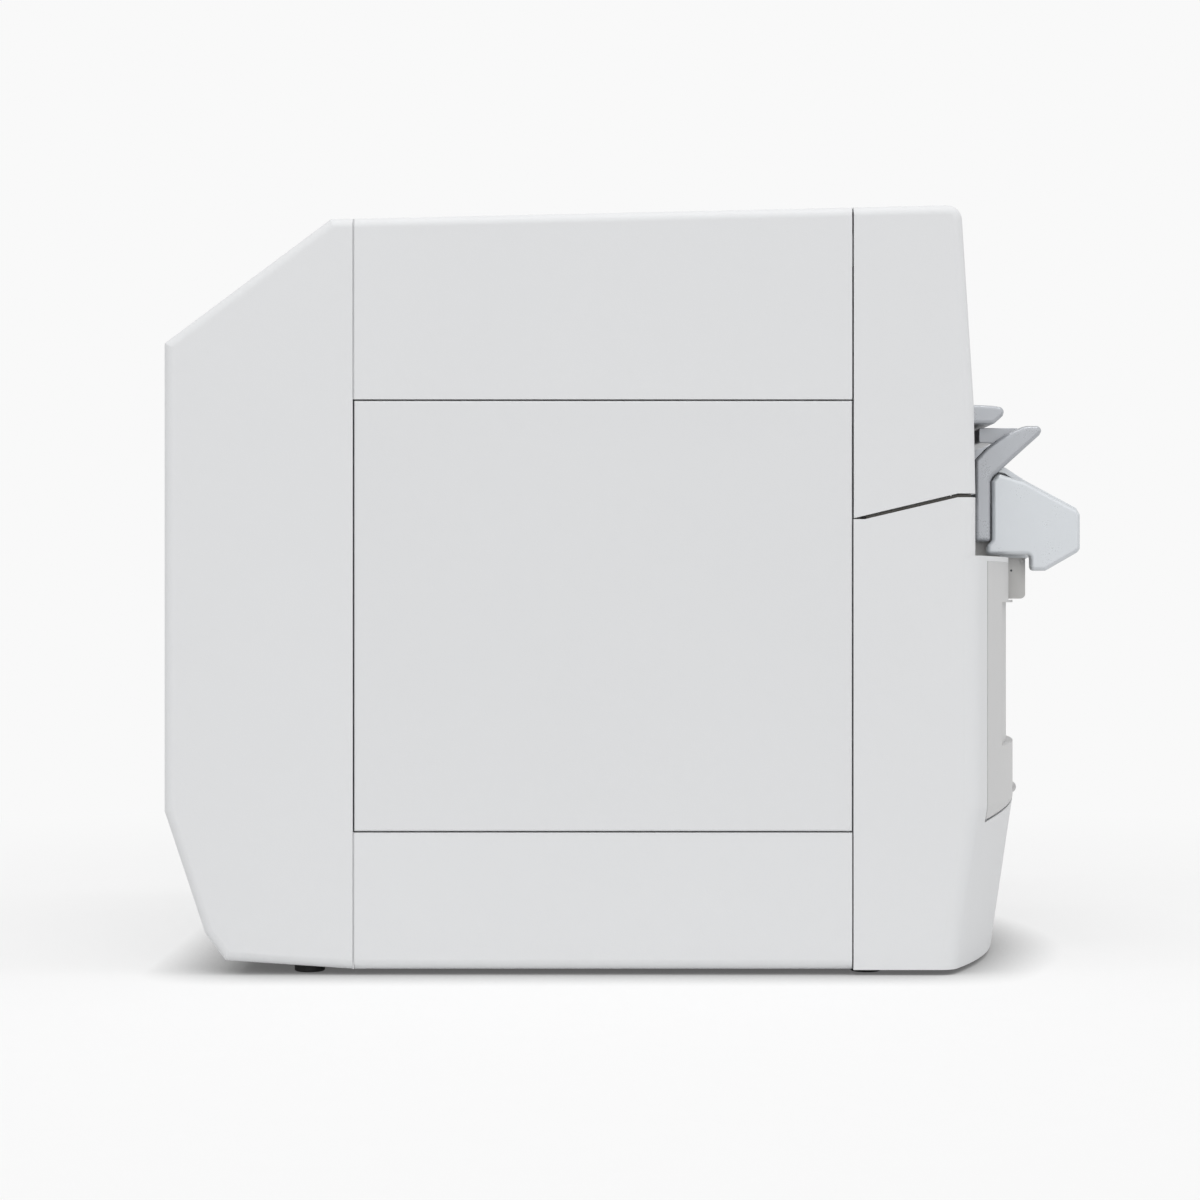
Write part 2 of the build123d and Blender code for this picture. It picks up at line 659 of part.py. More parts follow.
# Drive: feed roller with its gear, an idler on a stud, and the motor's pinion
gear_y = frame_y + frame_t + gear_room
shaft_end = gear_y + gear_t + 1
finish(roller(feed_x, feed_z, feed_r, web_half, -shaft_end, frame_y + frame_t + 3, 3), "feed_roller")
finish(roller(feed_x, nip_z, nip_r, web_half - 2, -frame_y - frame_t - 1.5, frame_y + frame_t + 3, 0),
       "nip_roller")
finish(roller(exit_x, exit_z, exit_r, web_half, -frame_y - frame_t - 3, frame_y + frame_t + 3, 3),
       "exit_roller")
with BuildPart() as feed_gear:
    add(gear(feed_teeth, feed_x, feed_z, -gear_y - gear_t, -gear_y, 90))
    add(rod(feed_x, feed_z, shaft_r + 0.01, -gear_y - gear_t - 1, -gear_y + 1), mode=Mode.SUBTRACT)
    with BuildSketch(Plane.XZ.offset(gear_y - 1)):
        with Locations((feed_x, feed_z)):
            with PolarLocations(10.5, 5):
                Circle(3)
    extrude(amount=gear_t + 2, mode=Mode.SUBTRACT)
finish(feed_gear.part, "feed_gear")
stud_r = 3.0
with BuildPart() as idler_gear:
    add(gear(idler_teeth, feed_x, idler_z, -gear_y - gear_t, -gear_y, 90 + 180 / idler_teeth))
    add(rod(feed_x, idler_z, stud_r + pin_room, -gear_y - gear_t - 1, -gear_y + 1), mode=Mode.SUBTRACT)
finish(idler_gear.part, "idler_gear")
with BuildPart() as idler_stud:
    add(rod(feed_x, idler_z, stud_r, -gear_y - gear_t - 1.6, -frame_y - frame_t))
    add(rod(feed_x, idler_z, stud_r + 2, -gear_y - gear_t - 1.6, -gear_y - gear_t - 0.4))
    add(rod(feed_x, idler_z, stud_r + 2, -gear_y + 0.4, -frame_y - frame_t))
finish(idler_stud.part, "idler_stud")
motor_r = 15.0
with BuildPart() as motor_pinion:
    add(gear(pinion_teeth, feed_x, pinion_z, -gear_y - gear_t, -gear_y, 90))
    add(rod(feed_x, pinion_z, motor_shaft_r, -gear_y, -frame_y + 1))
finish(motor_pinion.part, "motor_pinion")
motor_y = -frame_y
with BuildPart() as feed_motor:
    add(rod(feed_x, pinion_z, motor_r, motor_y, motor_y + 34))
    add(box_of(feed_x - 22, feed_x + 22, motor_y, motor_y + 2, pinion_z - 9, pinion_z + 9))
    add(rod(feed_x, pinion_z, 4, motor_y + 33, motor_y + 37))
    add(rod(feed_x, pinion_z, motor_shaft_r + pin_room, motor_y - 1, motor_y + 4), mode=Mode.SUBTRACT)
finish(feed_motor.part, "feed_motor")

# Printing: platen, head and its beam, cutter on its rail, guides before the nip
platen_top = feed_z + feed_r - 0.2
platen_rear = feed_x + feed_r + 3
with BuildPart() as platen:
    add(box_of(platen_rear, exit_x - exit_r - 8, -frame_y, frame_y, platen_top - 7, platen_top))
    with BuildSketch(Plane.XY.offset(platen_top + 1)):
        with Locations((platen_rear + 32, 0)):
            with GridLocations(0, 14, 1, 8):
                SlotOverall(44, 5)
    extrude(amount=-4, mode=Mode.SUBTRACT)
finish(platen.part, "platen")
head_x = platen_rear + 10
head_low = platen_top + 2.4
with BuildPart() as print_head:
    add(box_of(head_x, head_x + 44, -web_half - 6, web_half + 6, head_low + 5, head_low + 38))
    add(box_of(head_x + 8, head_x + 36, -web_half, web_half, head_low, head_low + 6))
    with BuildSketch(Plane.XY.offset(head_low + 39)):
        with Locations((head_x + 22, 0)):
            with GridLocations(0, 26, 1, 4):
                Rectangle(26, 16)
    extrude(amount=-7, mode=Mode.SUBTRACT)
finish(print_head.part, "print_head")
beam_z = head_low + 38
with BuildPart() as head_beam:
    add(box_of(head_x + 4, head_x + 40, -frame_y, frame_y, beam_z, beam_z + 3))
    add(box_of(head_x + 37, head_x + 40, -frame_y, frame_y, beam_z, beam_z + 14))
finish(head_beam.part, "head_beam")
cutter_x = head_x + 48
rail_z = platen_top + 26
with BuildPart() as cutter_rail:
    add(box_of(cutter_x, cutter_x + 12, -frame_y, frame_y, rail_z, rail_z + 3))
    add(box_of(cutter_x, cutter_x + 3, -frame_y, frame_y, rail_z - 6, rail_z + 1))
    add(box_of(cutter_x + 9, cutter_x + 12, -frame_y, frame_y, rail_z - 6, rail_z + 1))
finish(cutter_rail.part, "cutter_rail")
cutter_home = web_half + 26
with BuildPart() as cutter_carriage:
    add(box_of(cutter_x + 3.3, cutter_x + 8.7, -cutter_home - 9, -cutter_home + 9, rail_z - 8, rail_z - 0.3))
    add(box_of(cutter_x + 0.5, cutter_x + 11.5, -cutter_home - 9, -cutter_home + 9,
               rail_z - 22, rail_z - 6.3))
    with BuildSketch(Plane.YZ.offset(cutter_x + 4.5)):
        with Locations((-cutter_home, rail_z - 17.5)):
            Circle(7.6)
    extrude(amount=1.2)
finish(cutter_carriage.part, "cutter_carriage")

tray_rear = feed_x - 92
tray_front = feed_x - feed_r - 6
tray_top = feed_z + feed_r - 3
with BuildPart() as media_tray:
    add(slab([(tray_rear - 14, tray_top - 22), (tray_rear, tray_top - 3), (tray_rear, tray_top),
              (tray_front, tray_top), (tray_front, tray_top - 3), (tray_rear + 6, tray_top - 3),
              (tray_rear - 11, tray_top - 23)], -frame_y, frame_y))
    with BuildSketch(Plane.XY.offset(tray_top + 1)):
        with Locations(((tray_rear + tray_front) / 2, 0)):
            Rectangle(7, 2 * web_half + 40)
    extrude(amount=-6, mode=Mode.SUBTRACT)
finish(media_tray.part, "media_tray")
guide_x = (tray_rear + tray_front) / 2
guide_room = 0.3
for name, side in (("left_edge_guide", 1), ("right_edge_guide", -1)):
    with BuildPart() as edge_guide:
        low = min(side * (web_half + 0.5), side * (web_half + 3.5))
        add(box_of(tray_rear + 8, tray_front - 4, low, low + 3, tray_top + guide_room, tray_top + 20))
        add(box_of(guide_x - 12, guide_x + 12, min(low, low + side * 12), max(low + 3, low + 3 + side * 12),
                   tray_top + guide_room, tray_top + 3))
        foot = min(side * (web_half + 2), side * (web_half + 12))
        add(box_of(guide_x - 3.1, guide_x + 3.1, foot, foot + 10, tray_top - 6, tray_top + 1))
    finish(edge_guide.part, name)

# Label roll spindle: a shaft with two core hubs and an outer flange
with BuildPart() as roll_spindle:
    with BuildSketch(Plane.XY):
        with BuildLine():
            y_end = frame_y + frame_t + 3
            hub = web_half - 2
            Polyline((0, -y_end), (shaft_r, -y_end), (shaft_r, -hub - 3), (flange_r, -hub - 3),
                     (flange_r, -hub), (core_r, -hub), (core_r - 1, -hub + 14), (core_r - 4, -hub + 14),
                     (core_r - 4, -hub + 2), (shaft_r + 4, -hub + 2), (shaft_r + 4, hub - 2),
                     (core_r - 4, hub - 2), (core_r - 4, hub - 14), (core_r - 1, hub - 14), (core_r, hub),
                     (shaft_r, hub), (shaft_r, y_end), (0, y_end), close=True)
        make_face()
    revolve(axis=Axis.Y)
roll_spindle.part = roll_spindle.part.moved(Location((roll_x, 0, roll_z)))
finish(roll_spindle.part, "roll_spindle")

# Rubber feet: the rear pair sits in seats, the front pair on the flat floor
with BuildPart() as rubber_feet:
    for x, top in ((rear_foot_x, rear_foot_top), (front_foot_x, foot_height)):
        with BuildSketch(Plane.XY):
            with Locations((x, -foot_y), (x, foot_y)):
                Circle(foot_r)
        extrude(amount=top)
    treads = rubber_feet.edges().filter_by(GeomType.CIRCLE).group_by(Axis.Z)[0]
    chamfer(treads, 0.6)
finish(rubber_feet.part, "rubber_feet")

# Ink bay behind the door: four cartridge cells and a wider one for the maintenance box
bay_rear = front_seam_x - 68
bay_front = front_x - 12
bay_half = 124.0
bay_low = 96.0
bay_high = 212.0
cell_wall = 2.0
cell_room = 0.3
cell_w = 27.6
cell_count = 4
box_w = 2 * bay_half - 3 * cell_wall - cell_count * (cell_w + cell_wall)
cell_low = bay_low + cell_wall
with BuildPart() as ink_bay:
    add(box_of(bay_rear, bay_front, -bay_half, bay_half, bay_low, bay_high))
    for i in range(cell_count):
        y = -bay_half + cell_wall + i * (cell_w + cell_wall)
        add(box_of(bay_rear + cell_wall, bay_front + 1, y, y + cell_w, cell_low, bay_high - cell_wall),
            mode=Mode.SUBTRACT)
    box_y = bay_half - cell_wall - box_w
    add(box_of(bay_rear + cell_wall, bay_front + 1, box_y, box_y + box_w, cell_low, bay_high - 40),
        mode=Mode.SUBTRACT)
    for side in (-1, 1):
        low = min(side * 96, side * 102)
        add(box_of(bay_rear + 8, bay_front - 8, low, low + 6, frame_low, bay_low + 1))
finish(ink_bay.part, "ink_bay")


def cartridge(y_from, y_to, high):
    # A tank with a ribbed front and a pull tab under its upper edge.
    with BuildPart() as tank:
        front = bay_front - 6
        add(box_of(bay_rear + cell_wall + 2, front, y_from, y_to, cell_low + 0.1, cell_low + high))
        upright = tank.edges().filter_by(Axis.Z)
        fillet(upright, 1.5)
        middle = (y_from + y_to) / 2
        add(slab([(front - 1, cell_low + high - 6), (front + 5, cell_low + high - 9),
                  (front + 5, cell_low + high - 11), (front - 1, cell_low + high - 12)],
                 middle - 8, middle + 8))
    return tank.part


for i, name in enumerate(("black", "cyan", "magenta", "yellow")):
    y = -bay_half + cell_wall + i * (cell_w + cell_wall) + cell_room
    finish(cartridge(y, y + cell_w - 2 * cell_room, 96), f"ink_cartridge_{name}")
finish(cartridge(box_y + cell_room, box_y + box_w - cell_room, 66), "maintenance_box")

# Electronics: supply, main board and the connector panel low on the back
with BuildPart() as power_supply:
    add(box_of(rear_seam_x + 14, rear_seam_x + 134, -116, -20, frame_low, frame_low + 52))
    with BuildSketch(Plane.XY.offset(frame_low + 53)):
        with Locations((rear_seam_x + 74, -68)):
            with GridLocations(9, 0, 11, 1):
                SlotOverall(70, 4, rotation=90)
    extrude(amount=-3, mode=Mode.SUBTRACT)
finish(power_supply.part, "power_supply")
with BuildPart() as main_board:
    add(box_of(feed_x - 86, feed_x + 4, frame_y - 6, frame_y - 4.4, 90, 250))
    for x in (feed_x - 80, feed_x - 2):
        for z in (96, 244):
            add(rod(x, z, 3, frame_y - 4.4, frame_y))
    add(box_of(feed_x - 70, feed_x - 42, frame_y - 9, frame_y - 6, 150, 178))
    add(box_of(feed_x - 26, feed_x - 10, frame_y - 12, frame_y - 6, 110, 160))
    add(box_of(feed_x - 76, feed_x - 20, frame_y - 14, frame_y - 6, 226, 236))
finish(main_board.part, "main_board")

plate_x = rear_x + wall
inlet_y = -half_width + 54
inlet_z = 148.0
socket_z = 192.0
sockets = ((-half_width + 96, 13.0, 12.0), (-half_width + 122, 17.0, 14.5))
window_y = (-inner_y + 24, -inner_y + 144)
with BuildPart() as connector_plate:
    add(box_of(plate_x, plate_x + 2, window_y[0] - 4, window_y[1] + 4, 114, 222))
    add(box_of(plate_x - 1, plate_x + 3, inlet_y - 15.2, inlet_y + 15.2, inlet_z - 12.2, inlet_z + 12.2),
        mode=Mode.SUBTRACT)
    for y, wide, high in sockets:
        add(box_of(plate_x - 1, plate_x + 3, y - wide / 2 - 0.2, y + wide / 2 + 0.2,
                   socket_z - high / 2 - 0.2, socket_z + high / 2 + 0.2), mode=Mode.SUBTRACT)
finish(connector_plate.part, "connector_plate")
inlet_low = plate_x - 2
with BuildPart() as mains_inlet:
    add(box_of(inlet_low, inlet_low + 24, inlet_y - 15, inlet_y + 15, inlet_z - 12, inlet_z + 12))
    add(box_of(inlet_low + 4, inlet_low + 7, inlet_y - 18, inlet_y + 18, inlet_z - 14, inlet_z + 14))
    with BuildSketch(Plane.YZ.offset(inlet_low - 1)):
        with BuildLine():
            Polyline((inlet_y - 12, inlet_z - 8.5), (inlet_y + 12, inlet_z - 8.5),
                     (inlet_y + 12, inlet_z + 3), (inlet_y + 7, inlet_z + 8.5),
                     (inlet_y - 7, inlet_z + 8.5), (inlet_y - 12, inlet_z + 3), close=True)
        make_face()
    extrude(amount=18, mode=Mode.SUBTRACT)
    for y, z in ((-7, -2), (0, 2), (7, -2)):
        add(box_of(inlet_low + 6.5, inlet_low + 18, inlet_y + y - 1, inlet_y + y + 1,
                   inlet_z + z - 2, inlet_z + z + 2))
finish(mains_inlet.part, "mains_inlet")
with BuildPart() as data_sockets:
    for y, wide, high in sockets:
        add(box_of(inlet_low + 1, inlet_low + 19, y - wide / 2, y + wide / 2,
                   socket_z - high / 2, socket_z + high / 2))
        add(box_of(inlet_low, inlet_low + 14, y - wide / 2 + 1.4, y + wide / 2 - 1.4,
                   socket_z - high / 2 + 1.4, socket_z + high / 2 - 1.4), mode=Mode.SUBTRACT)
        add(box_of(inlet_low + 6.5, inlet_low + 15, y - wide / 2 + 4, y + wide / 2 - 4,
                   socket_z - 1, socket_z + 1))
finish(data_sockets.part, "data_sockets")

# Peeler unit: a foot on the front beam, a swinging block with its roller, and a horned lever
base_half = cheek_half - cheek_t - 2
beam_front = front_x - 18
ear_t = 6.0
with BuildPart() as peel_base:
    add(box_of(beam_front, front_x + base_front, -base_half, base_half, base_low_z, ledge_top))
    nose = peel_base.edges().filter_by(Axis.Y).group_by(Axis.X)[-1].group_by(Axis.Z)[0]
    fillet(nose, 3)
    add(box_of(beam_front + wall, front_x + base_front - wall, -base_half + wall, base_half - wall,
               base_low_z - 1, ledge_top - wall), mode=Mode.SUBTRACT)
    for side in (-1, 1):
        low = min(side * (base_half - ear_t), side * base_half)
        add(slab([(front_x + 2, ledge_top - 1), (front_x + 2, front_split_z + 1),
                  (front_x + 14, front_split_z + 1), (front_x + 16, lever_z + 7),
                  (peel_pivot_x + 5.5, pivot_z + 3), (peel_pivot_x + 5.5, ledge_top - 1)],
                 low, low + ear_t))
    add(rod(peel_pivot_x, pivot_z, pin_r + 0.02, -base_half - 1, base_half + 1), mode=Mode.SUBTRACT)
    add(rod(lever_pivot_x, lever_z, pin_r + 0.02, -base_half - 1, base_half + 1), mode=Mode.SUBTRACT)
finish(peel_base.part, "peel_base")

with BuildPart() as peel_plate:
    add(slab([(front_x - 10, front_split_z - 1), (front_x + 12, front_split_z + 1),
              (front_x + 18, front_split_z - 2), (front_x + 18.4, front_split_z - 3.4),
              (front_x + 12, front_split_z - 1.4), (front_x - 10, front_split_z - 3.4)],
             -base_half + ear_t, base_half - ear_t))
finish(peel_plate.part, "peel_plate")

stem_left = lever_pivot_x - stem_width / 2
stem_right = lever_pivot_x + stem_width / 2
block_left = stem_right + peel_gap
cheek_low = pivot_z - 4.5
lip_low = 238.3
peel_roller_x = front_x + 57
peel_roller_z = 262.0
peel_roller_r = 9.0
cheek_inner = cheek_half - cheek_t
cheek_line = [
    (block_left, pivot_z),
    (block_left, front_split_z + 11.3),
    (block_left + 3, front_split_z + 12),
    (front_x + 42.6, front_split_z + 7.3),
    (nose_x - 1.9, front_split_z - 9.1),
    (nose_x, front_split_z - 11.5),
    (nose_x, pivot_z - 0.6),
    (nose_x - 1.5, pivot_z - 2.7),
    (front_x + 53.9, lip_low),
    (front_x + 45.5, lip_low),
    (front_x + 44.4, lip_low + 1.1),
    (front_x + 44.4, cheek_low),
    (peel_pivot_x, cheek_low),
]
top_plate = [
    (front_x + 24, front_split_z + 20.5),
    (front_x + 30.3, front_split_z + 19.5),
    (front_x + 42.6, front_split_z + 11.5),
    (nose_x - 1.1, front_split_z - 5.6),
    (nose_x, front_split_z - 8),
    (nose_x, pivot_z - 0.6),
    (nose_x - wall, pivot_z - 0.6),
    (nose_x - wall, front_split_z - 9),
    (front_x + 41.8, front_split_z + 8),
    (front_x + 29.6, front_split_z + 15.8),
    (front_x + 24, front_split_z + 16.8),
]
with BuildPart() as peel_block:
    for side in (-1, 1):
        low = min(side * cheek_inner, side * cheek_half)
        add(slab(cheek_line, low, low + cheek_t))
        add(rod(peel_pivot_x, pivot_z, pivot_bush_r + 0.02, low - 1, low + cheek_t + 1),
            mode=Mode.SUBTRACT)
    with BuildPart() as plate:
        add(slab(top_plate, -cheek_inner, cheek_inner))
        for side in (-1, 1):
            low = min(side * (cheek_inner - gap), side * (cheek_inner + 1))
            add(box_of(front_x + 20, front_x + 34, low, low + gap + 1, front_split_z + 12,
                       front_split_z + 30), mode=Mode.SUBTRACT)
    add(plate.part)
    # stiffening ribs under the plate
    for y in (-44, 0, 44):
        add(slab([(front_x + 30, front_split_z + 16), (front_x + 42, front_split_z + 8.4),
                  (nose_x - wall + 0.5, front_split_z - 8.6), (nose_x - wall + 0.5, front_split_z - 14),
                  (front_x + 40, front_split_z + 3), (front_x + 31, front_split_z + 10)], y - 1, y + 1))
    add(rod(peel_roller_x, peel_roller_z, shaft_r + pin_room, -cheek_half + 2, cheek_half - 2),
        mode=Mode.SUBTRACT)
    # bushes in the cheeks, which turn on the pins of the foot
    for side in (-1, 1):
        low = min(side * cheek_inner, side * cheek_half)
        add(rod(peel_pivot_x, pivot_z, pivot_bush_r, low, low + cheek_t))
    add(rod(peel_pivot_x, pivot_z, pin_r + pin_room, -cheek_half + 1, cheek_half - 1), mode=Mode.SUBTRACT)
finish(peel_block.part, "peel_block")
finish(roller(peel_roller_x, peel_roller_z, peel_roller_r, cheek_inner - 10, -cheek_half + 2.4,
              cheek_half - 2.4, 5), "peel_roller")
with BuildPart() as peel_pins:
    for side in (-1, 1):
        for x, z in ((peel_pivot_x, pivot_z), (lever_pivot_x, lever_z)):
            low = min(side * (base_half - ear_t + 1), side * (cheek_half - 1.4))
            add(rod(x, z, pin_r, low, low + cheek_half - 1.4 - base_half + ear_t - 1))
with BuildPart() as pivot_pins:
    for pins in (hood_pins, cover_pins, door_pin, peel_pins):
        add(pins.part)
finish(pivot_pins.part, "pivot_pins")

horn = [
    (stem_left, lever_z),
    (stem_left, front_split_z + 24.4),
    (stem_left + 5.6, front_split_z + 31.1),
    (stem_left + 12, front_split_z + 35.9),
    (stem_left + 19.4, front_split_z + 40.7),
    (stem_left + 27.3, front_split_z + 44.2),
    (stem_left + 30, front_split_z + 45),
    (front_x + 49.8, front_split_z + 45),
    (front_x + 51.9, front_split_z + 42.6),
    (front_x + 50.4, front_split_z + 39.4),
    (front_x + 29.9, front_split_z + 20.9),
    (stem_right + 1.2, front_split_z + 13.4),
    (stem_right, front_split_z + 11.6),
    (stem_right, lever_z),
]
with BuildPart() as release_lever:
    for side in (-1, 1):
        low = min(side * cheek_inner, side * cheek_half)
        add(slab(horn, low, low + cheek_t))
        add(rod(lever_pivot_x, lever_z, stem_width / 2, low, low + cheek_t))
    add(slab([(stem_left + 2, front_split_z + 35), (stem_left + 2, front_split_z + 44),
              (front_x + 38, front_split_z + 44), (front_x + 38, front_split_z + 41),
              (front_x + 22, front_split_z + 34.4)], -cheek_inner - 0.5, cheek_inner + 0.5))
    add(rod(lever_pivot_x, lever_z, pin_r + pin_room, -cheek_half + 1, cheek_half - 1), mode=Mode.SUBTRACT)
finish(release_lever.part, "release_lever")

# Operation panel: bezel, screen and keys, all square to the leaning front
bezel_out = 0.8
bezel_in = 1.4
skirt_in = 6.4
screen_w, screen_h, screen_u, screen_v = 60.0, 36.0, -25.0, 13.0
keys = {
    "power_key": (-49.0, -24.0, 11.0, 11.0),
    "pause_key": (-30.0, -24.0, 16.0, 8.0),
    "feed_key": (-11.0, -24.0, 16.0, 8.0),
    "cancel_key": (8.0, -24.0, 16.0, 8.0),
    "up_key": (32.0, 21.0, 18.0, 10.0),
    "ok_key": (32.0, 6.0, 18.0, 12.0),
    "down_key": (32.0, -9.0, 18.0, 10.0),
}
key_room = 0.35
with BuildPart() as panel_bezel:
    with BuildSketch(panel_plane.offset(-bezel_in)):
        RectangleRounded(2 * panel_half, panel_high, 5)
    extrude(amount=bezel_in + bezel_out)
    outer_rim = panel_bezel.faces().sort_by(Axis.X)[-1].edges()
    fillet(outer_rim, 0.5)
    with BuildSketch(panel_plane.offset(-skirt_in)):
        Rectangle(2 * panel_half - 6.8, panel_high - 6.8)
        Rectangle(2 * panel_half - 9.8, panel_high - 9.8, mode=Mode.SUBTRACT)
    extrude(amount=skirt_in - bezel_in)
    with BuildSketch(panel_plane.offset(-bezel_in - 1)):
        with Locations((screen_u, screen_v)):
            RectangleRounded(screen_w - 4, screen_h - 4, 1)
    extrude(amount=6, mode=Mode.SUBTRACT)
    with BuildSketch(panel_plane.offset(-0.4)):
        with Locations((screen_u, screen_v)):
            RectangleRounded(screen_w + 0.2, screen_h + 0.2, 2)
    extrude(amount=6, mode=Mode.SUBTRACT)
    with BuildSketch(panel_plane.offset(-bezel_in - 1)):
        for u, v, wide, high in keys.values():
            with Locations((u, v)):
                RectangleRounded(wide + 2 * key_room, high + 2 * key_room, 3)
    extrude(amount=6, mode=Mode.SUBTRACT)
finish(panel_bezel.part, "panel_bezel")
with BuildPart() as display_lens:
    with BuildSketch(panel_plane.offset(-0.4)):
        with Locations((screen_u, screen_v)):
            RectangleRounded(screen_w, screen_h, 1.9)
    extrude(amount=1.0)
finish(display_lens.part, "display_lens")
with BuildPart() as display_module:
    with BuildSketch(panel_plane.offset(-skirt_in)):
        with Locations((screen_u, screen_v)):
            Rectangle(screen_w - 2, screen_h - 2)
    extrude(amount=skirt_in - bezel_in - 0.1)
flange_back = bezel_in + 0.3
flange_t = 1.5
switch_high = skirt_in - flange_back - flange_t - key_travel - gap
with BuildPart() as panel_board:
    with BuildSketch(panel_plane.offset(-skirt_in - 1.6)):
        Rectangle(2 * panel_half - 7, panel_high - 7)
    extrude(amount=1.6)
    with BuildSketch(panel_plane.offset(-skirt_in - 0.1)):
        for u, v, wide, high in keys.values():
            with Locations((u, v)):
                Rectangle(5, 5)
    extrude(amount=switch_high + 0.1)
with BuildPart() as panel_electronics:
    add(panel_board.part)
    add(display_module.part)
finish(panel_electronics.part, "panel_board")
for name, (u, v, wide, high) in keys.items():
    with BuildPart() as key:
        with BuildSketch(panel_plane.offset(-flange_back)):
            with Locations((u, v)):
                RectangleRounded(wide, high, 2.7)
        extrude(amount=flange_back + bezel_out + key_proud)
        fillet(key.faces().sort_by(Axis.X)[-1].edges(), 0.6)
        with BuildSketch(panel_plane.offset(-flange_back - flange_t)):
            with Locations((u, v)):
                RectangleRounded(wide + 2, high + 2, 3)
        extrude(amount=flange_t)
    finish(key.part, name)
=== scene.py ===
import json
import math
import bmesh
import bpy
import numpy as np
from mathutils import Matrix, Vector

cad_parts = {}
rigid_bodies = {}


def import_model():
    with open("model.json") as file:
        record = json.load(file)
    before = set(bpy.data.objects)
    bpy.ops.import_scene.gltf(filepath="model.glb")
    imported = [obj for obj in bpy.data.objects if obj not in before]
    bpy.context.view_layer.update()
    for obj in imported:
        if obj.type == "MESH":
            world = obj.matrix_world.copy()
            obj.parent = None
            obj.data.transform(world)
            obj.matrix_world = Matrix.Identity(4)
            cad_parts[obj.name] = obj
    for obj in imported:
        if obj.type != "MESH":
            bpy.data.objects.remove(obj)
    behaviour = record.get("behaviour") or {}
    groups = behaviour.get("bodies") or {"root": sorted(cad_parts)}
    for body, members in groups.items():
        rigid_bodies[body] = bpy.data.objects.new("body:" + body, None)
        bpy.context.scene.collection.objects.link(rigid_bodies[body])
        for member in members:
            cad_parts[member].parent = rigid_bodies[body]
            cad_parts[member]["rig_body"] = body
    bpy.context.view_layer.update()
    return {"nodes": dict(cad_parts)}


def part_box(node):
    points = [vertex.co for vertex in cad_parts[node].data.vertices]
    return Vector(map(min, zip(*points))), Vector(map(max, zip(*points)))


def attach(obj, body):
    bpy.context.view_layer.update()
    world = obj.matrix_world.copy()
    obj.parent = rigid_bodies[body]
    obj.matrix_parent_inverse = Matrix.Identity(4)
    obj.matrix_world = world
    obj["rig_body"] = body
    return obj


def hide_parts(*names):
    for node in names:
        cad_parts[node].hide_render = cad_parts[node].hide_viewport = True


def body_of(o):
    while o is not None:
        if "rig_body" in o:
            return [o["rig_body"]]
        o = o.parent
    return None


# A compact inkjet label printer seen from its side in a pale studio.
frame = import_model()
nodes = frame["nodes"]
mm = 0.001
square = ((-1, -1), (1, -1), (1, 1), (-1, 1))

# camera: level, side on, far enough back that the near side fills the photo's frame
shot = {"place": (-0.0200, -1.6700, 0.2204), "lens": 76.6, "sensor": 36.0, "near": 0.05, "far": 60.0}
lens = bpy.data.cameras.new("sideLens")
lens.lens, lens.sensor_width, lens.sensor_fit = shot["lens"], shot["sensor"], "AUTO"
lens.clip_start, lens.clip_end = shot["near"], shot["far"]
camera = bpy.data.objects.new("sideCamera", lens)
camera.location = shot["place"]
camera.rotation_euler = (math.radians(90), 0, 0)
bpy.context.scene.collection.objects.link(camera)
bpy.context.scene.camera = camera
bpy.context.scene.view_settings.view_transform = "Standard"
print("camera placed")


# small helpers for node trees
def put(tree, kind, values=None, **settings):
    node = tree.nodes.new(kind)
    for key, value in settings.items():
        setattr(node, key, value)
    for key, value in (values or {}).items():
        node.inputs[key].default_value = value
    return node


def link(tree, *pairs):
    for source, target in pairs:
        tree.links.new(source, target)


def plainlySeen(tree):
    # 1 for what the camera, mirrors and glass look at, 0 for rays that only gather light.
    rays = put(tree, "ShaderNodeLightPath").outputs
    direct = put(tree, "ShaderNodeMath", operation="MAXIMUM")
    through = put(tree, "ShaderNodeMath", operation="MAXIMUM")
    link(tree, (rays["Is Camera Ray"], direct.inputs[0]), (rays["Is Glossy Ray"], direct.inputs[1]),
         (direct.outputs[0], through.inputs[0]), (rays["Is Transmission Ray"], through.inputs[1]))
    return through.outputs[0]


def startGroup(name, inputs, outputs):
    # A shader group with named sockets; inputs are (name, kind, value).
    group = bpy.data.node_groups.new(name, "ShaderNodeTree")
    for label, kind, value in inputs:
        socket = group.interface.new_socket(label, in_out="INPUT", socket_type="NodeSocket" + kind)
        if value is not None:
            socket.default_value = value
    for label, kind in outputs:
        group.interface.new_socket(label, in_out="OUTPUT", socket_type="NodeSocket" + kind)
    return group, put(group, "NodeGroupInput").outputs, put(group, "NodeGroupOutput").inputs


# shared effects
# moulded skin: slow clouds of tone, spark-eroded grain, and roughness that drifts with both
skinGroup, given, made = startGroup("mouldedSkin", [
    ("Base", "Color", (0.8, 0.8, 0.8, 1)), ("Tone Shift", "Float", 0.02), ("Cloud Size", "Float", 9.0),
    ("Grain Size", "Float", 1400.0), ("Grain Height", "Float", 0.00003), ("Rough", "Float", 0.45),
    ("Rough Drift", "Float", 0.08), ("Edge Radius", "Float", 0.0005)],
    [("Color", "Color"), ("Roughness", "Float"), ("Normal", "Vector")])
spot = put(skinGroup, "ShaderNodeTexCoord").outputs["Object"]
cloud = put(skinGroup, "ShaderNodeTexNoise", {"Detail": 4.0, "Roughness": 0.55})
grain = put(skinGroup, "ShaderNodeTexNoise", {"Detail": 2.0, "Roughness": 0.6})
pits = put(skinGroup, "ShaderNodeTexVoronoi", {"Randomness": 1.0}, feature="SMOOTH_F1")
lift = put(skinGroup, "ShaderNodeMath", {1: 0.5}, operation="SUBTRACT")
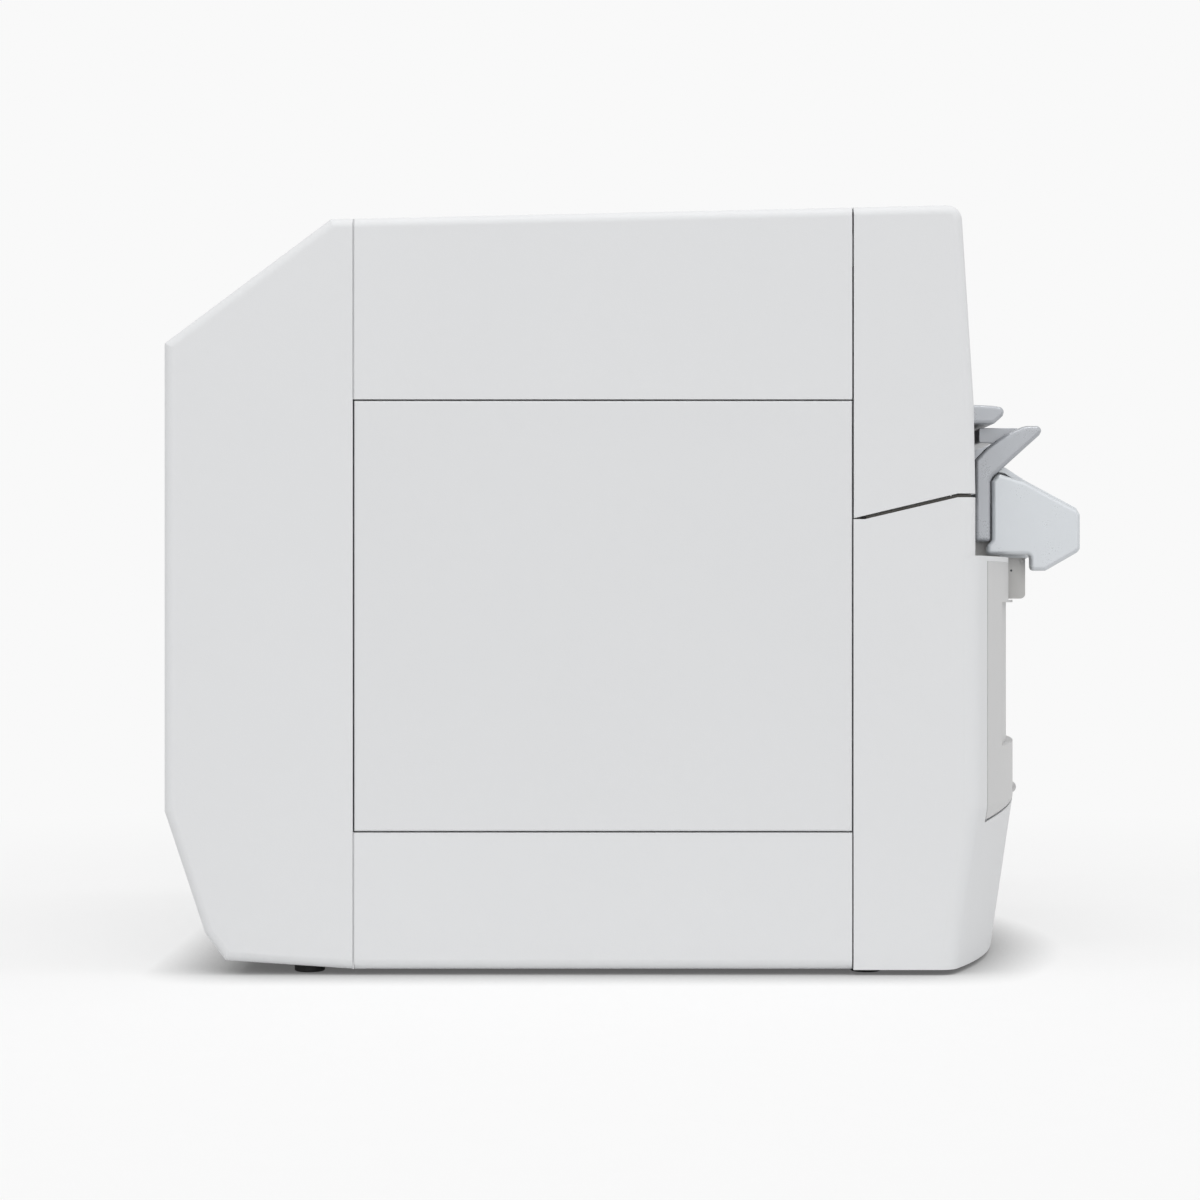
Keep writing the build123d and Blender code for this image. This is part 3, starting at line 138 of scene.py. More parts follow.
scaled = put(skinGroup, "ShaderNodeMath", {2: 1.0}, operation="MULTIPLY_ADD")
double = put(skinGroup, "ShaderNodeMath", {1: 2.0}, operation="MULTIPLY")
tint = put(skinGroup, "ShaderNodeHueSaturation")
mixHeight = put(skinGroup, "ShaderNodeMath", {1: 0.5}, operation="MULTIPLY_ADD")
bump = put(skinGroup, "ShaderNodeBump", {"Strength": 0.6})
rounded = put(skinGroup, "ShaderNodeBevel", samples=4)
drift = put(skinGroup, "ShaderNodeMath", operation="MULTIPLY_ADD")
fine = put(skinGroup, "ShaderNodeMath", {1: 0.06}, operation="MULTIPLY_ADD")
link(skinGroup, (spot, cloud.inputs["Vector"]), (spot, grain.inputs["Vector"]), (spot, pits.inputs["Vector"]),
     (given["Cloud Size"], cloud.inputs["Scale"]), (given["Grain Size"], grain.inputs["Scale"]),
     (given["Grain Size"], pits.inputs["Scale"]), (cloud.outputs["Fac"], lift.inputs[0]),
     (given["Tone Shift"], double.inputs[0]), (lift.outputs[0], scaled.inputs[0]),
     (double.outputs[0], scaled.inputs[1]), (scaled.outputs[0], tint.inputs["Value"]),
     (given["Base"], tint.inputs["Color"]), (tint.outputs[0], made["Color"]),
     (grain.outputs["Fac"], mixHeight.inputs[0]), (pits.outputs["Distance"], mixHeight.inputs[2]),
     (mixHeight.outputs[0], bump.inputs["Height"]), (given["Grain Height"], bump.inputs["Distance"]),
     (given["Edge Radius"], rounded.inputs["Radius"]), (rounded.outputs[0], bump.inputs["Normal"]),
     (bump.outputs[0], made["Normal"]), (lift.outputs[0], drift.inputs[0]),
     (given["Rough Drift"], drift.inputs[1]), (given["Rough"], drift.inputs[2]),
     (grain.outputs["Fac"], fine.inputs[0]), (drift.outputs[0], fine.inputs[2]),
     (fine.outputs[0], made["Roughness"]))

# rolled metal: long streaks along one way, with a slow stain over them
metalGroup, given, made = startGroup("rolledMetal", [
    ("Base", "Color", (0.6, 0.6, 0.6, 1)), ("Streak Scale", "Vector", (40.0, 40.0, 900.0)),
    ("Tone Shift", "Float", 0.08), ("Rough", "Float", 0.3), ("Rough Drift", "Float", 0.2),
    ("Streak Height", "Float", 0.00001)],
    [("Color", "Color"), ("Roughness", "Float"), ("Normal", "Vector")])
spot = put(metalGroup, "ShaderNodeTexCoord").outputs["Object"]
stretch = put(metalGroup, "ShaderNodeVectorMath", operation="MULTIPLY")
streak = put(metalGroup, "ShaderNodeTexNoise", {"Scale": 1.0, "Detail": 3.0, "Roughness": 0.65})
stain = put(metalGroup, "ShaderNodeTexNoise", {"Scale": 22.0, "Detail": 3.0})
both = put(metalGroup, "ShaderNodeMath", operation="ADD")
lift = put(metalGroup, "ShaderNodeMath", {1: 1.0}, operation="SUBTRACT")
scaled = put(metalGroup, "ShaderNodeMath", {2: 1.0}, operation="MULTIPLY_ADD")
tint = put(metalGroup, "ShaderNodeHueSaturation")
bump = put(metalGroup, "ShaderNodeBump", {"Strength": 0.5})
drift = put(metalGroup, "ShaderNodeMath", operation="MULTIPLY_ADD")
link(metalGroup, (spot, stretch.inputs[0]), (given["Streak Scale"], stretch.inputs[1]),
     (stretch.outputs[0], streak.inputs["Vector"]), (spot, stain.inputs["Vector"]),
     (streak.outputs["Fac"], both.inputs[0]), (stain.outputs["Fac"], both.inputs[1]),
     (both.outputs[0], lift.inputs[0]), (lift.outputs[0], scaled.inputs[0]),
     (given["Tone Shift"], scaled.inputs[1]), (scaled.outputs[0], tint.inputs["Value"]),
     (given["Base"], tint.inputs["Color"]), (tint.outputs[0], made["Color"]),
     (streak.outputs["Fac"], bump.inputs["Height"]), (given["Streak Height"], bump.inputs["Distance"]),
     (bump.outputs[0], made["Normal"]), (lift.outputs[0], drift.inputs[0]),
     (given["Rough Drift"], drift.inputs[1]), (given["Rough"], drift.inputs[2]),
     (drift.outputs[0], made["Roughness"]))

# settled dust: a faint veil on what faces up, broken by noise
dustGroup, given, made = startGroup("settledDust", [
    ("Amount", "Float", 0.1), ("Patch Size", "Float", 30.0)],
    [("Mask", "Float")])
facing = put(dustGroup, "ShaderNodeSeparateXYZ")
patch = put(dustGroup, "ShaderNodeTexNoise", {"Detail": 5.0, "Roughness": 0.7})
upward = put(dustGroup, "ShaderNodeMapRange", {"From Min": 0.35, "From Max": 1.0})
veil = put(dustGroup, "ShaderNodeMath", operation="MULTIPLY")
final = put(dustGroup, "ShaderNodeMath", operation="MULTIPLY")
link(dustGroup, (put(dustGroup, "ShaderNodeNewGeometry").outputs["Normal"], facing.inputs[0]),
     (put(dustGroup, "ShaderNodeTexCoord").outputs["Object"], patch.inputs["Vector"]),
     (given["Patch Size"], patch.inputs["Scale"]), (facing.outputs["Z"], upward.inputs["Value"]),
     (upward.outputs[0], veil.inputs[0]), (patch.outputs["Fac"], veil.inputs[1]),
     (veil.outputs[0], final.inputs[0]), (given["Amount"], final.inputs[1]), (final.outputs[0], made["Mask"]))

# handled patches: where fingers rest the grain is a little smoother and darker
touchGroup, given, made = startGroup("handledPatches", [
    ("Amount", "Float", 0.3), ("Patch Size", "Float", 60.0)],
    [("Mask", "Float")])
patch = put(touchGroup, "ShaderNodeTexNoise", {"Detail": 2.0, "Distortion": 0.6})
cut = put(touchGroup, "ShaderNodeMapRange", {"From Min": 0.48, "From Max": 0.68})
final = put(touchGroup, "ShaderNodeMath", operation="MULTIPLY")
link(touchGroup, (put(touchGroup, "ShaderNodeTexCoord").outputs["Object"], patch.inputs["Vector"]),
     (given["Patch Size"], patch.inputs["Scale"]), (patch.outputs["Fac"], cut.inputs["Value"]),
     (cut.outputs[0], final.inputs[0]), (given["Amount"], final.inputs[1]), (final.outputs[0], made["Mask"]))
print("shared effects built")


# finishes
mixA, mixB, mixed = 6, 7, 2  # a Mix node's two colour inputs and its colour output


def newMaterial(name, **sockets):
    material = bpy.data.materials.new(name)
    material.use_nodes = True
    tree = material.node_tree
    tree.nodes.clear()
    shader = put(tree, "ShaderNodeBsdfPrincipled", sockets)
    output = put(tree, "ShaderNodeOutputMaterial")
    link(tree, (shader.outputs[0], output.inputs["Surface"]))
    return material, tree, shader


def useGroup(tree, group, **values):
    node = put(tree, "ShaderNodeGroup", node_tree=group)
    for key, value in values.items():
        node.inputs[key].default_value = value
    return node


fingerTint, dustTint = (0.86, 0.85, 0.84, 1), (0.72, 0.70, 0.67, 1)


def plasticFinish(name, colour, shift=0.02, cloudSize=9.0, grainSize=1400.0, grainHeight=0.00003, rough=0.45,
                  roughDrift=0.08, edge=0.0005, dust=0.0, touched=0.0, **sockets):
    # Moulded plastic: its skin, then dust on top and finger marks where the piece is handled.
    material, tree, shader = newMaterial(name, **sockets)
    skin = useGroup(tree, skinGroup, **{"Base": (*colour, 1), "Tone Shift": shift, "Cloud Size": cloudSize,
                                        "Grain Size": grainSize, "Grain Height": grainHeight, "Rough": rough,
                                        "Rough Drift": roughDrift, "Edge Radius": edge})
    colourOut, roughOut = skin.outputs["Color"], skin.outputs["Roughness"]
    if touched:
        marks = useGroup(tree, touchGroup, **{"Amount": touched})
        darker = put(tree, "ShaderNodeMix", data_type="RGBA", blend_type="MULTIPLY")
        darker.inputs[mixB].default_value = fingerTint
        smoother = put(tree, "ShaderNodeMath", {1: -0.35}, operation="MULTIPLY_ADD")
        link(tree, (marks.outputs[0], darker.inputs[0]), (colourOut, darker.inputs[mixA]),
             (marks.outputs[0], smoother.inputs[0]), (roughOut, smoother.inputs[2]))
        colourOut, roughOut = darker.outputs[mixed], smoother.outputs[0]
    if dust:
        veil = useGroup(tree, dustGroup, **{"Amount": dust})
        dusty = put(tree, "ShaderNodeMix", data_type="RGBA")
        dusty.inputs[mixB].default_value = dustTint
        link(tree, (veil.outputs[0], dusty.inputs[0]), (colourOut, dusty.inputs[mixA]))
        colourOut = dusty.outputs[mixed]
    link(tree, (colourOut, shader.inputs["Base Color"]), (roughOut, shader.inputs["Roughness"]),
         (skin.outputs["Normal"], shader.inputs["Normal"]))
    return material


def metalFinish(name, colour, streaks, shift=0.08, rough=0.3, roughDrift=0.2, height=0.00001, **sockets):
    # Metal: streaks along its rolling or grinding direction.
    material, tree, shader = newMaterial(name, Metallic=1.0, **sockets)
    rolled = useGroup(tree, metalGroup, **{"Base": (*colour, 1), "Streak Scale": streaks, "Tone Shift": shift,
                                           "Rough": rough, "Rough Drift": roughDrift, "Streak Height": height})
    link(tree, (rolled.outputs["Color"], shader.inputs["Base Color"]),
         (rolled.outputs["Roughness"], shader.inputs["Roughness"]),
         (rolled.outputs["Normal"], shader.inputs["Normal"]))
    return material


def boardFinish(name):
    # Lacquered board: copper areas under green lacquer, edged by a square-cornered cell pattern.
    material, tree, shader = newMaterial(name, **{"Coat Weight": 0.5, "Coat Roughness": 0.15})
    skin = useGroup(tree, skinGroup, **{"Base": (0.012, 0.11, 0.035, 1), "Tone Shift": 0.12, "Rough": 0.35,
                                        "Grain Height": 0.00001, "Edge Radius": 0.0002})
    spot = put(tree, "ShaderNodeTexCoord").outputs["Object"]
    cells = put(tree, "ShaderNodeTexVoronoi", {"Scale": 190.0, "Randomness": 0.75}, distance="MANHATTAN")
    band = put(tree, "ShaderNodeMapRange", {"From Min": 0.62, "From Max": 0.66})
    copper = put(tree, "ShaderNodeMix", data_type="RGBA")
    copper.inputs[mixB].default_value = (0.05, 0.21, 0.06, 1)
    link(tree, (spot, cells.inputs["Vector"]), (cells.outputs["Distance"], band.inputs["Value"]),
         (band.outputs[0], copper.inputs[0]), (skin.outputs["Color"], copper.inputs[mixA]),
         (copper.outputs[mixed], shader.inputs["Base Color"]),
         (skin.outputs["Roughness"], shader.inputs["Roughness"]),
         (skin.outputs["Normal"], shader.inputs["Normal"]))
    return material


crossX, crossY, upZ = (900.0, 40.0, 40.0), (40.0, 900.0, 40.0), (40.0, 40.0, 900.0)
finishes = {
    "shellPlastic": plasticFinish("shellPlastic", (0.725, 0.732, 0.742), shift=0.012, rough=0.5, dust=0.06),
    "sidePlastic": plasticFinish("sidePlastic", (0.715, 0.722, 0.732), shift=0.012, rough=0.52, cloudSize=7.0),
    "greyPlastic": plasticFinish("greyPlastic", (0.52, 0.515, 0.505), shift=0.02, rough=0.5),
    "doorPlastic": plasticFinish("doorPlastic", (0.60, 0.60, 0.60), shift=0.015, rough=0.48, touched=0.15),
    "silverPlastic": plasticFinish("silverPlastic", (0.585, 0.61, 0.635), shift=0.02, rough=0.27,
                                   touched=0.03, grainHeight=0.000012, **{"Coat Weight": 0.3, "Metallic": 0.3}),
    "leverPlastic": plasticFinish("leverPlastic", (0.40, 0.415, 0.44), shift=0.02, rough=0.27, touched=0.06,
                                  grainHeight=0.000012, **{"Coat Weight": 0.3, "Metallic": 0.3}),
    "panelPlastic": plasticFinish("panelPlastic", (0.035, 0.038, 0.042), shift=0.05, rough=0.32, dust=0.03),
    "keyPlastic": plasticFinish("keyPlastic", (0.10, 0.105, 0.115), shift=0.04, rough=0.4, touched=0.5,
                                cloudSize=60.0),
    "powerKeyPlastic": plasticFinish("powerKeyPlastic", (0.62, 0.63, 0.64), shift=0.03, rough=0.38,
                                     touched=0.4, cloudSize=60.0),
    "screenGlass": plasticFinish("screenGlass", (0.012, 0.014, 0.018), shift=0.3, rough=0.06, roughDrift=0.05,
                                 grainHeight=0.000001, touched=0.1, **{"Coat Weight": 0.6}),
    "circuitBoard": boardFinish("circuitBoard"),
    "footRubber": plasticFinish("footRubber", (0.018, 0.018, 0.018), shift=0.15, rough=0.8, grainHeight=0.00006,
                                dust=0.2),
    "rollerRubber": plasticFinish("rollerRubber", (0.03, 0.03, 0.032), shift=0.15, rough=0.72, cloudSize=50.0,
                                  grainSize=2200.0, grainHeight=0.00005, dust=0.2),
    "zincSteel": metalFinish("zincSteel", (0.62, 0.63, 0.64), upZ, rough=0.38),
    "crossSteel": metalFinish("crossSteel", (0.62, 0.63, 0.64), crossX, rough=0.36),
    "pinSteel": metalFinish("pinSteel", (0.72, 0.72, 0.72), crossY, rough=0.2, roughDrift=0.1),
    "bushBronze": metalFinish("bushBronze", (0.55, 0.36, 0.16), crossX, rough=0.42, shift=0.15),
    "gearPlastic": plasticFinish("gearPlastic", (0.74, 0.72, 0.64), shift=0.03, rough=0.38, cloudSize=40.0,
                                 **{"Subsurface Weight": 0.05}),
    "motorSteel": metalFinish("motorSteel", (0.50, 0.50, 0.51), crossY, rough=0.34),
    "darkPlastic": plasticFinish("darkPlastic", (0.03, 0.03, 0.034), shift=0.12, rough=0.5, dust=0.15,
                                 grainHeight=0.00005),
    "blackTank": plasticFinish("blackTank", (0.02, 0.02, 0.021), shift=0.1, rough=0.3),
    "cyanTank": plasticFinish("cyanTank", (0.02, 0.30, 0.52), shift=0.05, rough=0.3),
    "magentaTank": plasticFinish("magentaTank", (0.48, 0.03, 0.20), shift=0.05, rough=0.3),
    "yellowTank": plasticFinish("yellowTank", (0.72, 0.52, 0.03), shift=0.05, rough=0.3),
    "boxPlastic": plasticFinish("boxPlastic", (0.16, 0.16, 0.165), shift=0.06, rough=0.42),
    "connectorMetal": metalFinish("connectorMetal", (0.60, 0.60, 0.60), crossY, rough=0.32),
    "inletPlastic": plasticFinish("inletPlastic", (0.015, 0.015, 0.016), shift=0.1, rough=0.42),
    "markWhite": plasticFinish("markWhite", (0.72, 0.73, 0.74), shift=0.03, rough=0.5, edge=0.0001),
    # dark print for the power key's symbol, also painted shade for the holes in the peeler's foot
    "darkPrintAndHoleShade": plasticFinish("darkPrintAndHoleShade", (0.05, 0.052, 0.056), shift=0.05, rough=0.5, edge=0.0001),
    # painted shade: dark colour of the strip in the split between the covers
    "gasketFoam": plasticFinish("gasketFoam", (0.085, 0.08, 0.072), shift=0.1, rough=0.85, grainHeight=0.0001),
    "lampGreen": plasticFinish("lampGreen", (0.05, 0.42, 0.13), shift=0.06, rough=0.22, edge=0.0001,
                               **{"Coat Weight": 0.4, "Subsurface Weight": 0.1}),
    "lampAmber": plasticFinish("lampAmber", (0.62, 0.30, 0.03), shift=0.06, rough=0.22, edge=0.0001,
                               **{"Coat Weight": 0.4, "Subsurface Weight": 0.1}),
    "barBlack": plasticFinish("barBlack", (0.16, 0.17, 0.18), shift=0.1, rough=0.2, edge=0.0001),
    "barCyan": plasticFinish("barCyan", (0.03, 0.38, 0.62), shift=0.06, rough=0.2, edge=0.0001),
    "barMagenta": plasticFinish("barMagenta", (0.58, 0.05, 0.26), shift=0.06, rough=0.2, edge=0.0001),
    "barYellow": plasticFinish("barYellow", (0.75, 0.58, 0.05), shift=0.06, rough=0.2, edge=0.0001),
    "screwSteel": metalFinish("screwSteel", (0.70, 0.70, 0.69), upZ, rough=0.28, roughDrift=0.12),
    "goldPlate": metalFinish("goldPlate", (0.80, 0.56, 0.22), crossX, rough=0.22),
}
wears = {
    "shellPlastic": ["rear_housing", "base_tray", "top_cover", "front_lower_housing", "front_top_cover",
                     "roll_cover"],
    "sidePlastic": ["left_side_panel", "right_side_panel"],
    "greyPlastic": ["peel_base"],
    "doorPlastic": ["ink_door"],
    "silverPlastic": ["peel_block"],
    "leverPlastic": ["release_lever", "visor"],
    "panelPlastic": ["panel_bezel"],
    "keyPlastic": ["pause_key", "feed_key", "cancel_key", "up_key", "ok_key", "down_key"],
    "powerKeyPlastic": ["power_key"],
    "screenGlass": ["display_lens"],
    "circuitBoard": ["panel_board", "main_board"],
    "footRubber": ["rubber_feet"],
    "rollerRubber": ["feed_roller", "nip_roller", "exit_roller", "peel_roller"],
    "zincSteel": ["left_side_frame", "right_side_frame"],
    "crossSteel": ["chassis_base", "cross_beams", "head_beam", "cutter_rail", "peel_plate"],
    "pinSteel": ["pivot_pins", "idler_stud"],
    "bushBronze": ["shaft_bushes"],
    "gearPlastic": ["feed_gear", "idler_gear", "motor_pinion"],
    "motorSteel": ["feed_motor", "power_supply"],
    "darkPlastic": ["platen", "print_head", "cutter_carriage", "media_tray", "left_edge_guide",
                    "right_edge_guide", "ink_bay", "roll_spindle"],
    "blackTank": ["ink_cartridge_black"],
    "cyanTank": ["ink_cartridge_cyan"],
    "magentaTank": ["ink_cartridge_magenta"],
    "yellowTank": ["ink_cartridge_yellow"],
    "boxPlastic": ["maintenance_box"],
    "connectorMetal": ["connector_plate", "data_sockets"],
    "inletPlastic": ["mains_inlet"],
}
finishOf = {node: finish for finish, group in wears.items() for node in group}
for name, obj in nodes.items():
    obj.data.materials.clear()
    obj.data.materials.append(finishes[finishOf[name]])
print("finishes on", len(nodes), "CAD nodes")


# stage: pale floor with a painted contact shadow, and soft light
studio = {"pale": 0.947, "floorTone": 0.40, "fadeFrom": 0.55, "fadeTo": 1.1, "sky": 0.51,
          "paintedShadowReach": 0.045, "paintedShadowFrom": 0.08, "paintedShadowLow": 0.2, "speckle": 0.004,
          "floorHalf": 12.0, "floorLow": -0.0002}
sky = bpy.data.worlds.new("paleRoom")
bpy.context.scene.world = sky
sky.use_nodes = True
tree = sky.node_tree
tree.nodes.clear()
lightSky = put(tree, "ShaderNodeBackground", {"Color": (1, 1, 1, 1), "Strength": studio["sky"]})
paleSky = put(tree, "ShaderNodeBackground", {"Color": (1, 1, 1, 1), "Strength": studio["pale"]})
choice = put(tree, "ShaderNodeMixShader")
link(tree, (plainlySeen(tree), choice.inputs[0]), (lightSky.outputs[0], choice.inputs[1]),
     (paleSky.outputs[0], choice.inputs[2]),
     (choice.outputs[0], put(tree, "ShaderNodeOutputWorld").inputs["Surface"]))

floorMesh = bpy.data.meshes.new("paleFloor")
half, low = studio["floorHalf"], studio["floorLow"]
floorMesh.from_pydata([(x * half, y * half, low) for x, y in square], [], [(0, 1, 2, 3)])
floor = bpy.data.objects.new("paleFloor", floorMesh)
bpy.context.scene.collection.objects.link(floor)
floorMat = bpy.data.materials.new("paleFloor")
floorMat.use_nodes = True
tree = floorMat.node_tree
tree.nodes.clear()
spot = put(tree, "ShaderNodeTexCoord").outputs["Object"]
away = put(tree, "ShaderNodeVectorMath", operation="LENGTH")
fade = put(tree, "ShaderNodeMapRange", {"From Min": studio["fadeFrom"], "From Max": studio["fadeTo"]},
           interpolation_type="SMOOTHSTEP")
speck = put(tree, "ShaderNodeTexNoise", {"Scale": 40.0, "Detail": 3.0})
speckTone = put(tree, "ShaderNodeMapRange", {"To Min": studio["floorTone"] - studio["speckle"],
                                             "To Max": studio["floorTone"] + studio["speckle"]})
# painted shadow: ambient occlusion darkens the floor's colour and glow where the machine stands near
shadowOcclusion = put(tree, "ShaderNodeAmbientOcclusion", {"Distance": studio["paintedShadowReach"]}, samples=8)
paintedShadow = put(tree, "ShaderNodeMapRange", {"From Min": studio["paintedShadowFrom"],
                                          "To Min": studio["paintedShadowLow"]})
mattTone = put(tree, "ShaderNodeMath", operation="MULTIPLY")
glowTone = put(tree, "ShaderNodeMath", {1: studio["pale"] - studio["floorTone"]}, operation="MULTIPLY")
matt = put(tree, "ShaderNodeBsdfDiffuse")
bounce = put(tree, "ShaderNodeBsdfDiffuse", {"Color": (0.8, 0.8, 0.8, 1)})
glow = put(tree, "ShaderNodeEmission", {"Color": (1, 1, 1, 1)})
lit = put(tree, "ShaderNodeAddShader")
far = put(tree, "ShaderNodeEmission", {"Color": (1, 1, 1, 1), "Strength": studio["pale"]})
near = put(tree, "ShaderNodeMixShader")
choice = put(tree, "ShaderNodeMixShader")
link(tree, (spot, away.inputs[0]), (away.outputs["Value"], fade.inputs["Value"]),
     (spot, speck.inputs["Vector"]), (speck.outputs["Fac"], speckTone.inputs["Value"]),
     (shadowOcclusion.outputs["AO"], paintedShadow.inputs[0]), (paintedShadow.outputs[0], mattTone.inputs[0]),
     (speckTone.outputs[0], mattTone.inputs[1]), (mattTone.outputs[0], matt.inputs["Color"]),
     (paintedShadow.outputs[0], glowTone.inputs[0]), (glowTone.outputs[0], glow.inputs["Strength"]),
     (matt.outputs[0], lit.inputs[0]), (glow.outputs[0], lit.inputs[1]),
     (fade.outputs[0], near.inputs[0]), (lit.outputs[0], near.inputs[1]), (far.outputs[0], near.inputs[2]),
     (plainlySeen(tree), choice.inputs[0]), (bounce.outputs[0], choice.inputs[1]),
     (near.outputs[0], choice.inputs[2]),
     (choice.outputs[0], put(tree, "ShaderNodeOutputMaterial").inputs["Surface"]))
floorMesh.materials.append(floorMat)

# suns as (direction towards the lamp, strength, spread in degrees)
lamps = {"overhead": ((0.05, -0.30, 1.0), 0.32, 75), "cameraSide": ((0.05, -1.0, 0.30), 0.895, 80),
         "frontFill": ((1.0, -0.35, 0.5), 0.31, 80)}
for name, (toward, strength, spread) in lamps.items():
    lamp = bpy.data.lights.new(name, "SUN")
    lamp.energy, lamp.angle = strength, math.radians(spread)
    holder = bpy.data.objects.new(name, lamp)
    holder.rotation_euler = Vector(toward).to_track_quat("Z", "Y").to_euler()
    bpy.context.scene.collection.objects.link(holder)
# softboxes as (place, width and depth, power), turned towards the middle of the machine
aim = Vector((0.1, 0, 0.25))
softboxes = {"overBox": ((0.30, -0.60, 3.20), (2.6, 0.55), 24.0),
             "rearBox": ((-2.30, -0.90, 2.50), (0.7, 1.4), 8.0)}
for name, (place, size, power) in softboxes.items():
    lamp = bpy.data.lights.new(name, "AREA")
    lamp.shape, lamp.energy = "RECTANGLE", power
    lamp.size, lamp.size_y = size
    holder = bpy.data.objects.new(name, lamp)
    holder.location = place
    holder.rotation_euler = (Vector(place) - aim).to_track_quat("Z", "Y").to_euler()
    bpy.context.scene.collection.objects.link(holder)
print("stage lit")


# mesh helpers
def bodyOf(node):
    return body_of(nodes[node])[0]


def addPiece(name, points, faces, finish, body, smooth=True):
    # A finished mesh at the origin, riding on its body.
    mesh = bpy.data.meshes.new(name)
    mesh.from_pydata(points.reshape(-1, 3).tolist(), [], faces)
    mesh.polygons.foreach_set("use_smooth", np.full(len(mesh.polygons), smooth))
    mesh.materials.append(finishes[finish])
    mesh.update()
    obj = bpy.data.objects.new(name, mesh)
    bpy.context.scene.collection.objects.link(obj)
    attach(obj, body)
    return obj


def gridFaces(rows, columns, wrapRows=False):
    # Quads of a rows by columns grid of points, closed round the columns, and round the rows if asked.
    r = np.arange(rows if wrapRows else rows - 1)[:, None]
    c = np.arange(columns)[None, :]
    r2, c2 = (r + 1) % rows, (c + 1) % columns
    quads = np.stack([r * columns + c, r * columns + c2, r2 * columns + c2, r2 * columns + c], -1)
    return quads.reshape(-1, 4).tolist()


def carry(path, across, up, profile, closed=False):
    # A profile carried along a path: each ring is the path's point plus the profile's two distances along
    # the path's own across and up directions.
    rings = path[:, None, :] + profile[None, :, :1] * across[:, None, :] + profile[None, :, 1:] * up[:, None, :]
    count = len(profile)
    faces = gridFaces(len(path), count, wrapRows=closed)
    if not closed:
        last = (len(path) - 1) * count
        faces += [list(range(count - 1, -1, -1)), list(range(last, last + count))]
    return rings, faces


def join(parts):
    # Several point grids and their faces as one mesh.
    points, faces, start = [], [], 0
    for grid, quads in parts:
        flat = grid.reshape(-1, 3)
        points.append(flat)
        faces += [[i + start for i in quad] for quad in quads]
        start += len(flat)
    return np.concatenate(points), faces


def dome(centre, out, right, radius, height, sink, rings=7, around=32):
    # Rings close in from r = 1 to the crown, each at height times the square root of 1 minus r squared,
    # over a foot that goes down by sink.
    out, right = np.array(out, float), np.array(right, float)
    upward = np.cross(out, right)
    r = np.sin(np.linspace(1, 0, rings) * math.pi / 2)[:, None]
    a = np.linspace(0, 2 * math.pi, around, endpoint=False)[None, :]
    rise = height * np.sqrt(np.clip(1 - r * r, 0, 1)) + 0 * a
    grid = (np.array(centre) + (r * np.cos(a) * radius)[..., None] * right
            + (r * np.sin(a) * radius)[..., None] * upward + rise[..., None] * out)
    foot = grid[:1] - sink * out
    return np.concatenate([foot, grid]), gridFaces(rings + 1, around)


rounds = {"least": 0.3, "mostOfSide": 0.47, "mostOfDepth": 0.42}


def roundedOutline(outline, corner, inset=0.0, steps=7):
    # An outline moved in by inset, each side along its own normal. Its corners are circular arcs of radius
    # corner - inset where it bulges and corner + inset where it is hollow, cut back at most mostOfSide of a
    # side: start + ahead R sin p + sideways R (1 - cos p).
    line = np.array(outline, float)
    area = (line[:, 0] * np.roll(line[:, 1], -1) - np.roll(line[:, 0], -1) * line[:, 1]).sum()
    line = line if area > 0 else line[::-1]
    along = np.roll(line, -1, 0) - line
    along /= np.linalg.norm(along, axis=1)[:, None]
    inward = np.stack([-along[:, 1], along[:, 0]], 1)
    shared = np.roll(inward, 1, 0) + inward
    line = line + inset * shared / (1 + (np.roll(inward, 1, 0) * inward).sum(1))[:, None]
    before, after = line - np.roll(line, 1, 0), np.roll(line, -1, 0) - line
    longBefore, longAfter = np.linalg.norm(before, axis=1), np.linalg.norm(after, axis=1)
    before, after = before / longBefore[:, None], after / longAfter[:, None]
    bend = np.sign(before[:, 0] * after[:, 1] - before[:, 1] * after[:, 0])
    turn = np.arccos(np.clip((before * after).sum(1), -1, 1))
    wanted = np.maximum(corner - bend * inset, rounds["least"]) * np.tan(turn / 2)
    cut = np.minimum(wanted, rounds["mostOfSide"] * np.minimum(longBefore, longAfter))
    sideways = np.stack([-before[:, 1], before[:, 0]], 1) * bend[:, None]
    radius = (cut / np.tan(turn / 2))[:, None, None]
    p = turn[:, None, None] * np.linspace(0, 1, steps)[None, :, None]
    start = (line - before * cut[:, None])[:, None]
    return (start + before[:, None] * radius * np.sin(p)
            + sideways[:, None] * radius * (1 - np.cos(p))).reshape(-1, 2)


def moulding(outline, yFrom, yTo, corner, rim, steps=6):
    # An outline in X and Z carried across the machine. Its rims turn through a quarter ellipse on both
    # sides: moved in by rim times (1 - cos a) where they have climbed by climb times sin a.
    climb = min(rim, rounds["mostOfDepth"] * (yTo - yFrom))
    a = np.linspace(0, math.pi / 2, steps)
    insets = np.concatenate([(1 - np.cos(a))[::-1], 1 - np.cos(a)]) * rim
    y = np.concatenate([yFrom + climb * (1 - np.sin(a))[::-1], yTo - climb * (1 - np.sin(a))])
    flat = np.stack([roundedOutline(outline, corner, inset) for inset in insets])
    grid = np.stack([flat[..., 0], np.broadcast_to(y[:, None], flat.shape[:2]), flat[..., 1]], -1) * mm
    count = flat.shape[1]
    last = (2 * steps - 1) * count
    faces = gridFaces(2 * steps, count)
    faces += [list(range(count - 1, -1, -1)), list(range(last, last + count))]
    return grid, faces


def turnOut(obj):
    # Faces point outwards, and wide flat faces keep their own normal beside the rounded rims.
    shape = bmesh.new()
    shape.from_mesh(obj.data)
    bmesh.ops.recalc_face_normals(shape, faces=shape.faces)
    shape.to_mesh(obj.data)
    shape.free()
    flats = obj.modifiers.new("flatFaces", "WEIGHTED_NORMAL")
    flats.weight, flats.keep_sharp = 100, False
    return obj


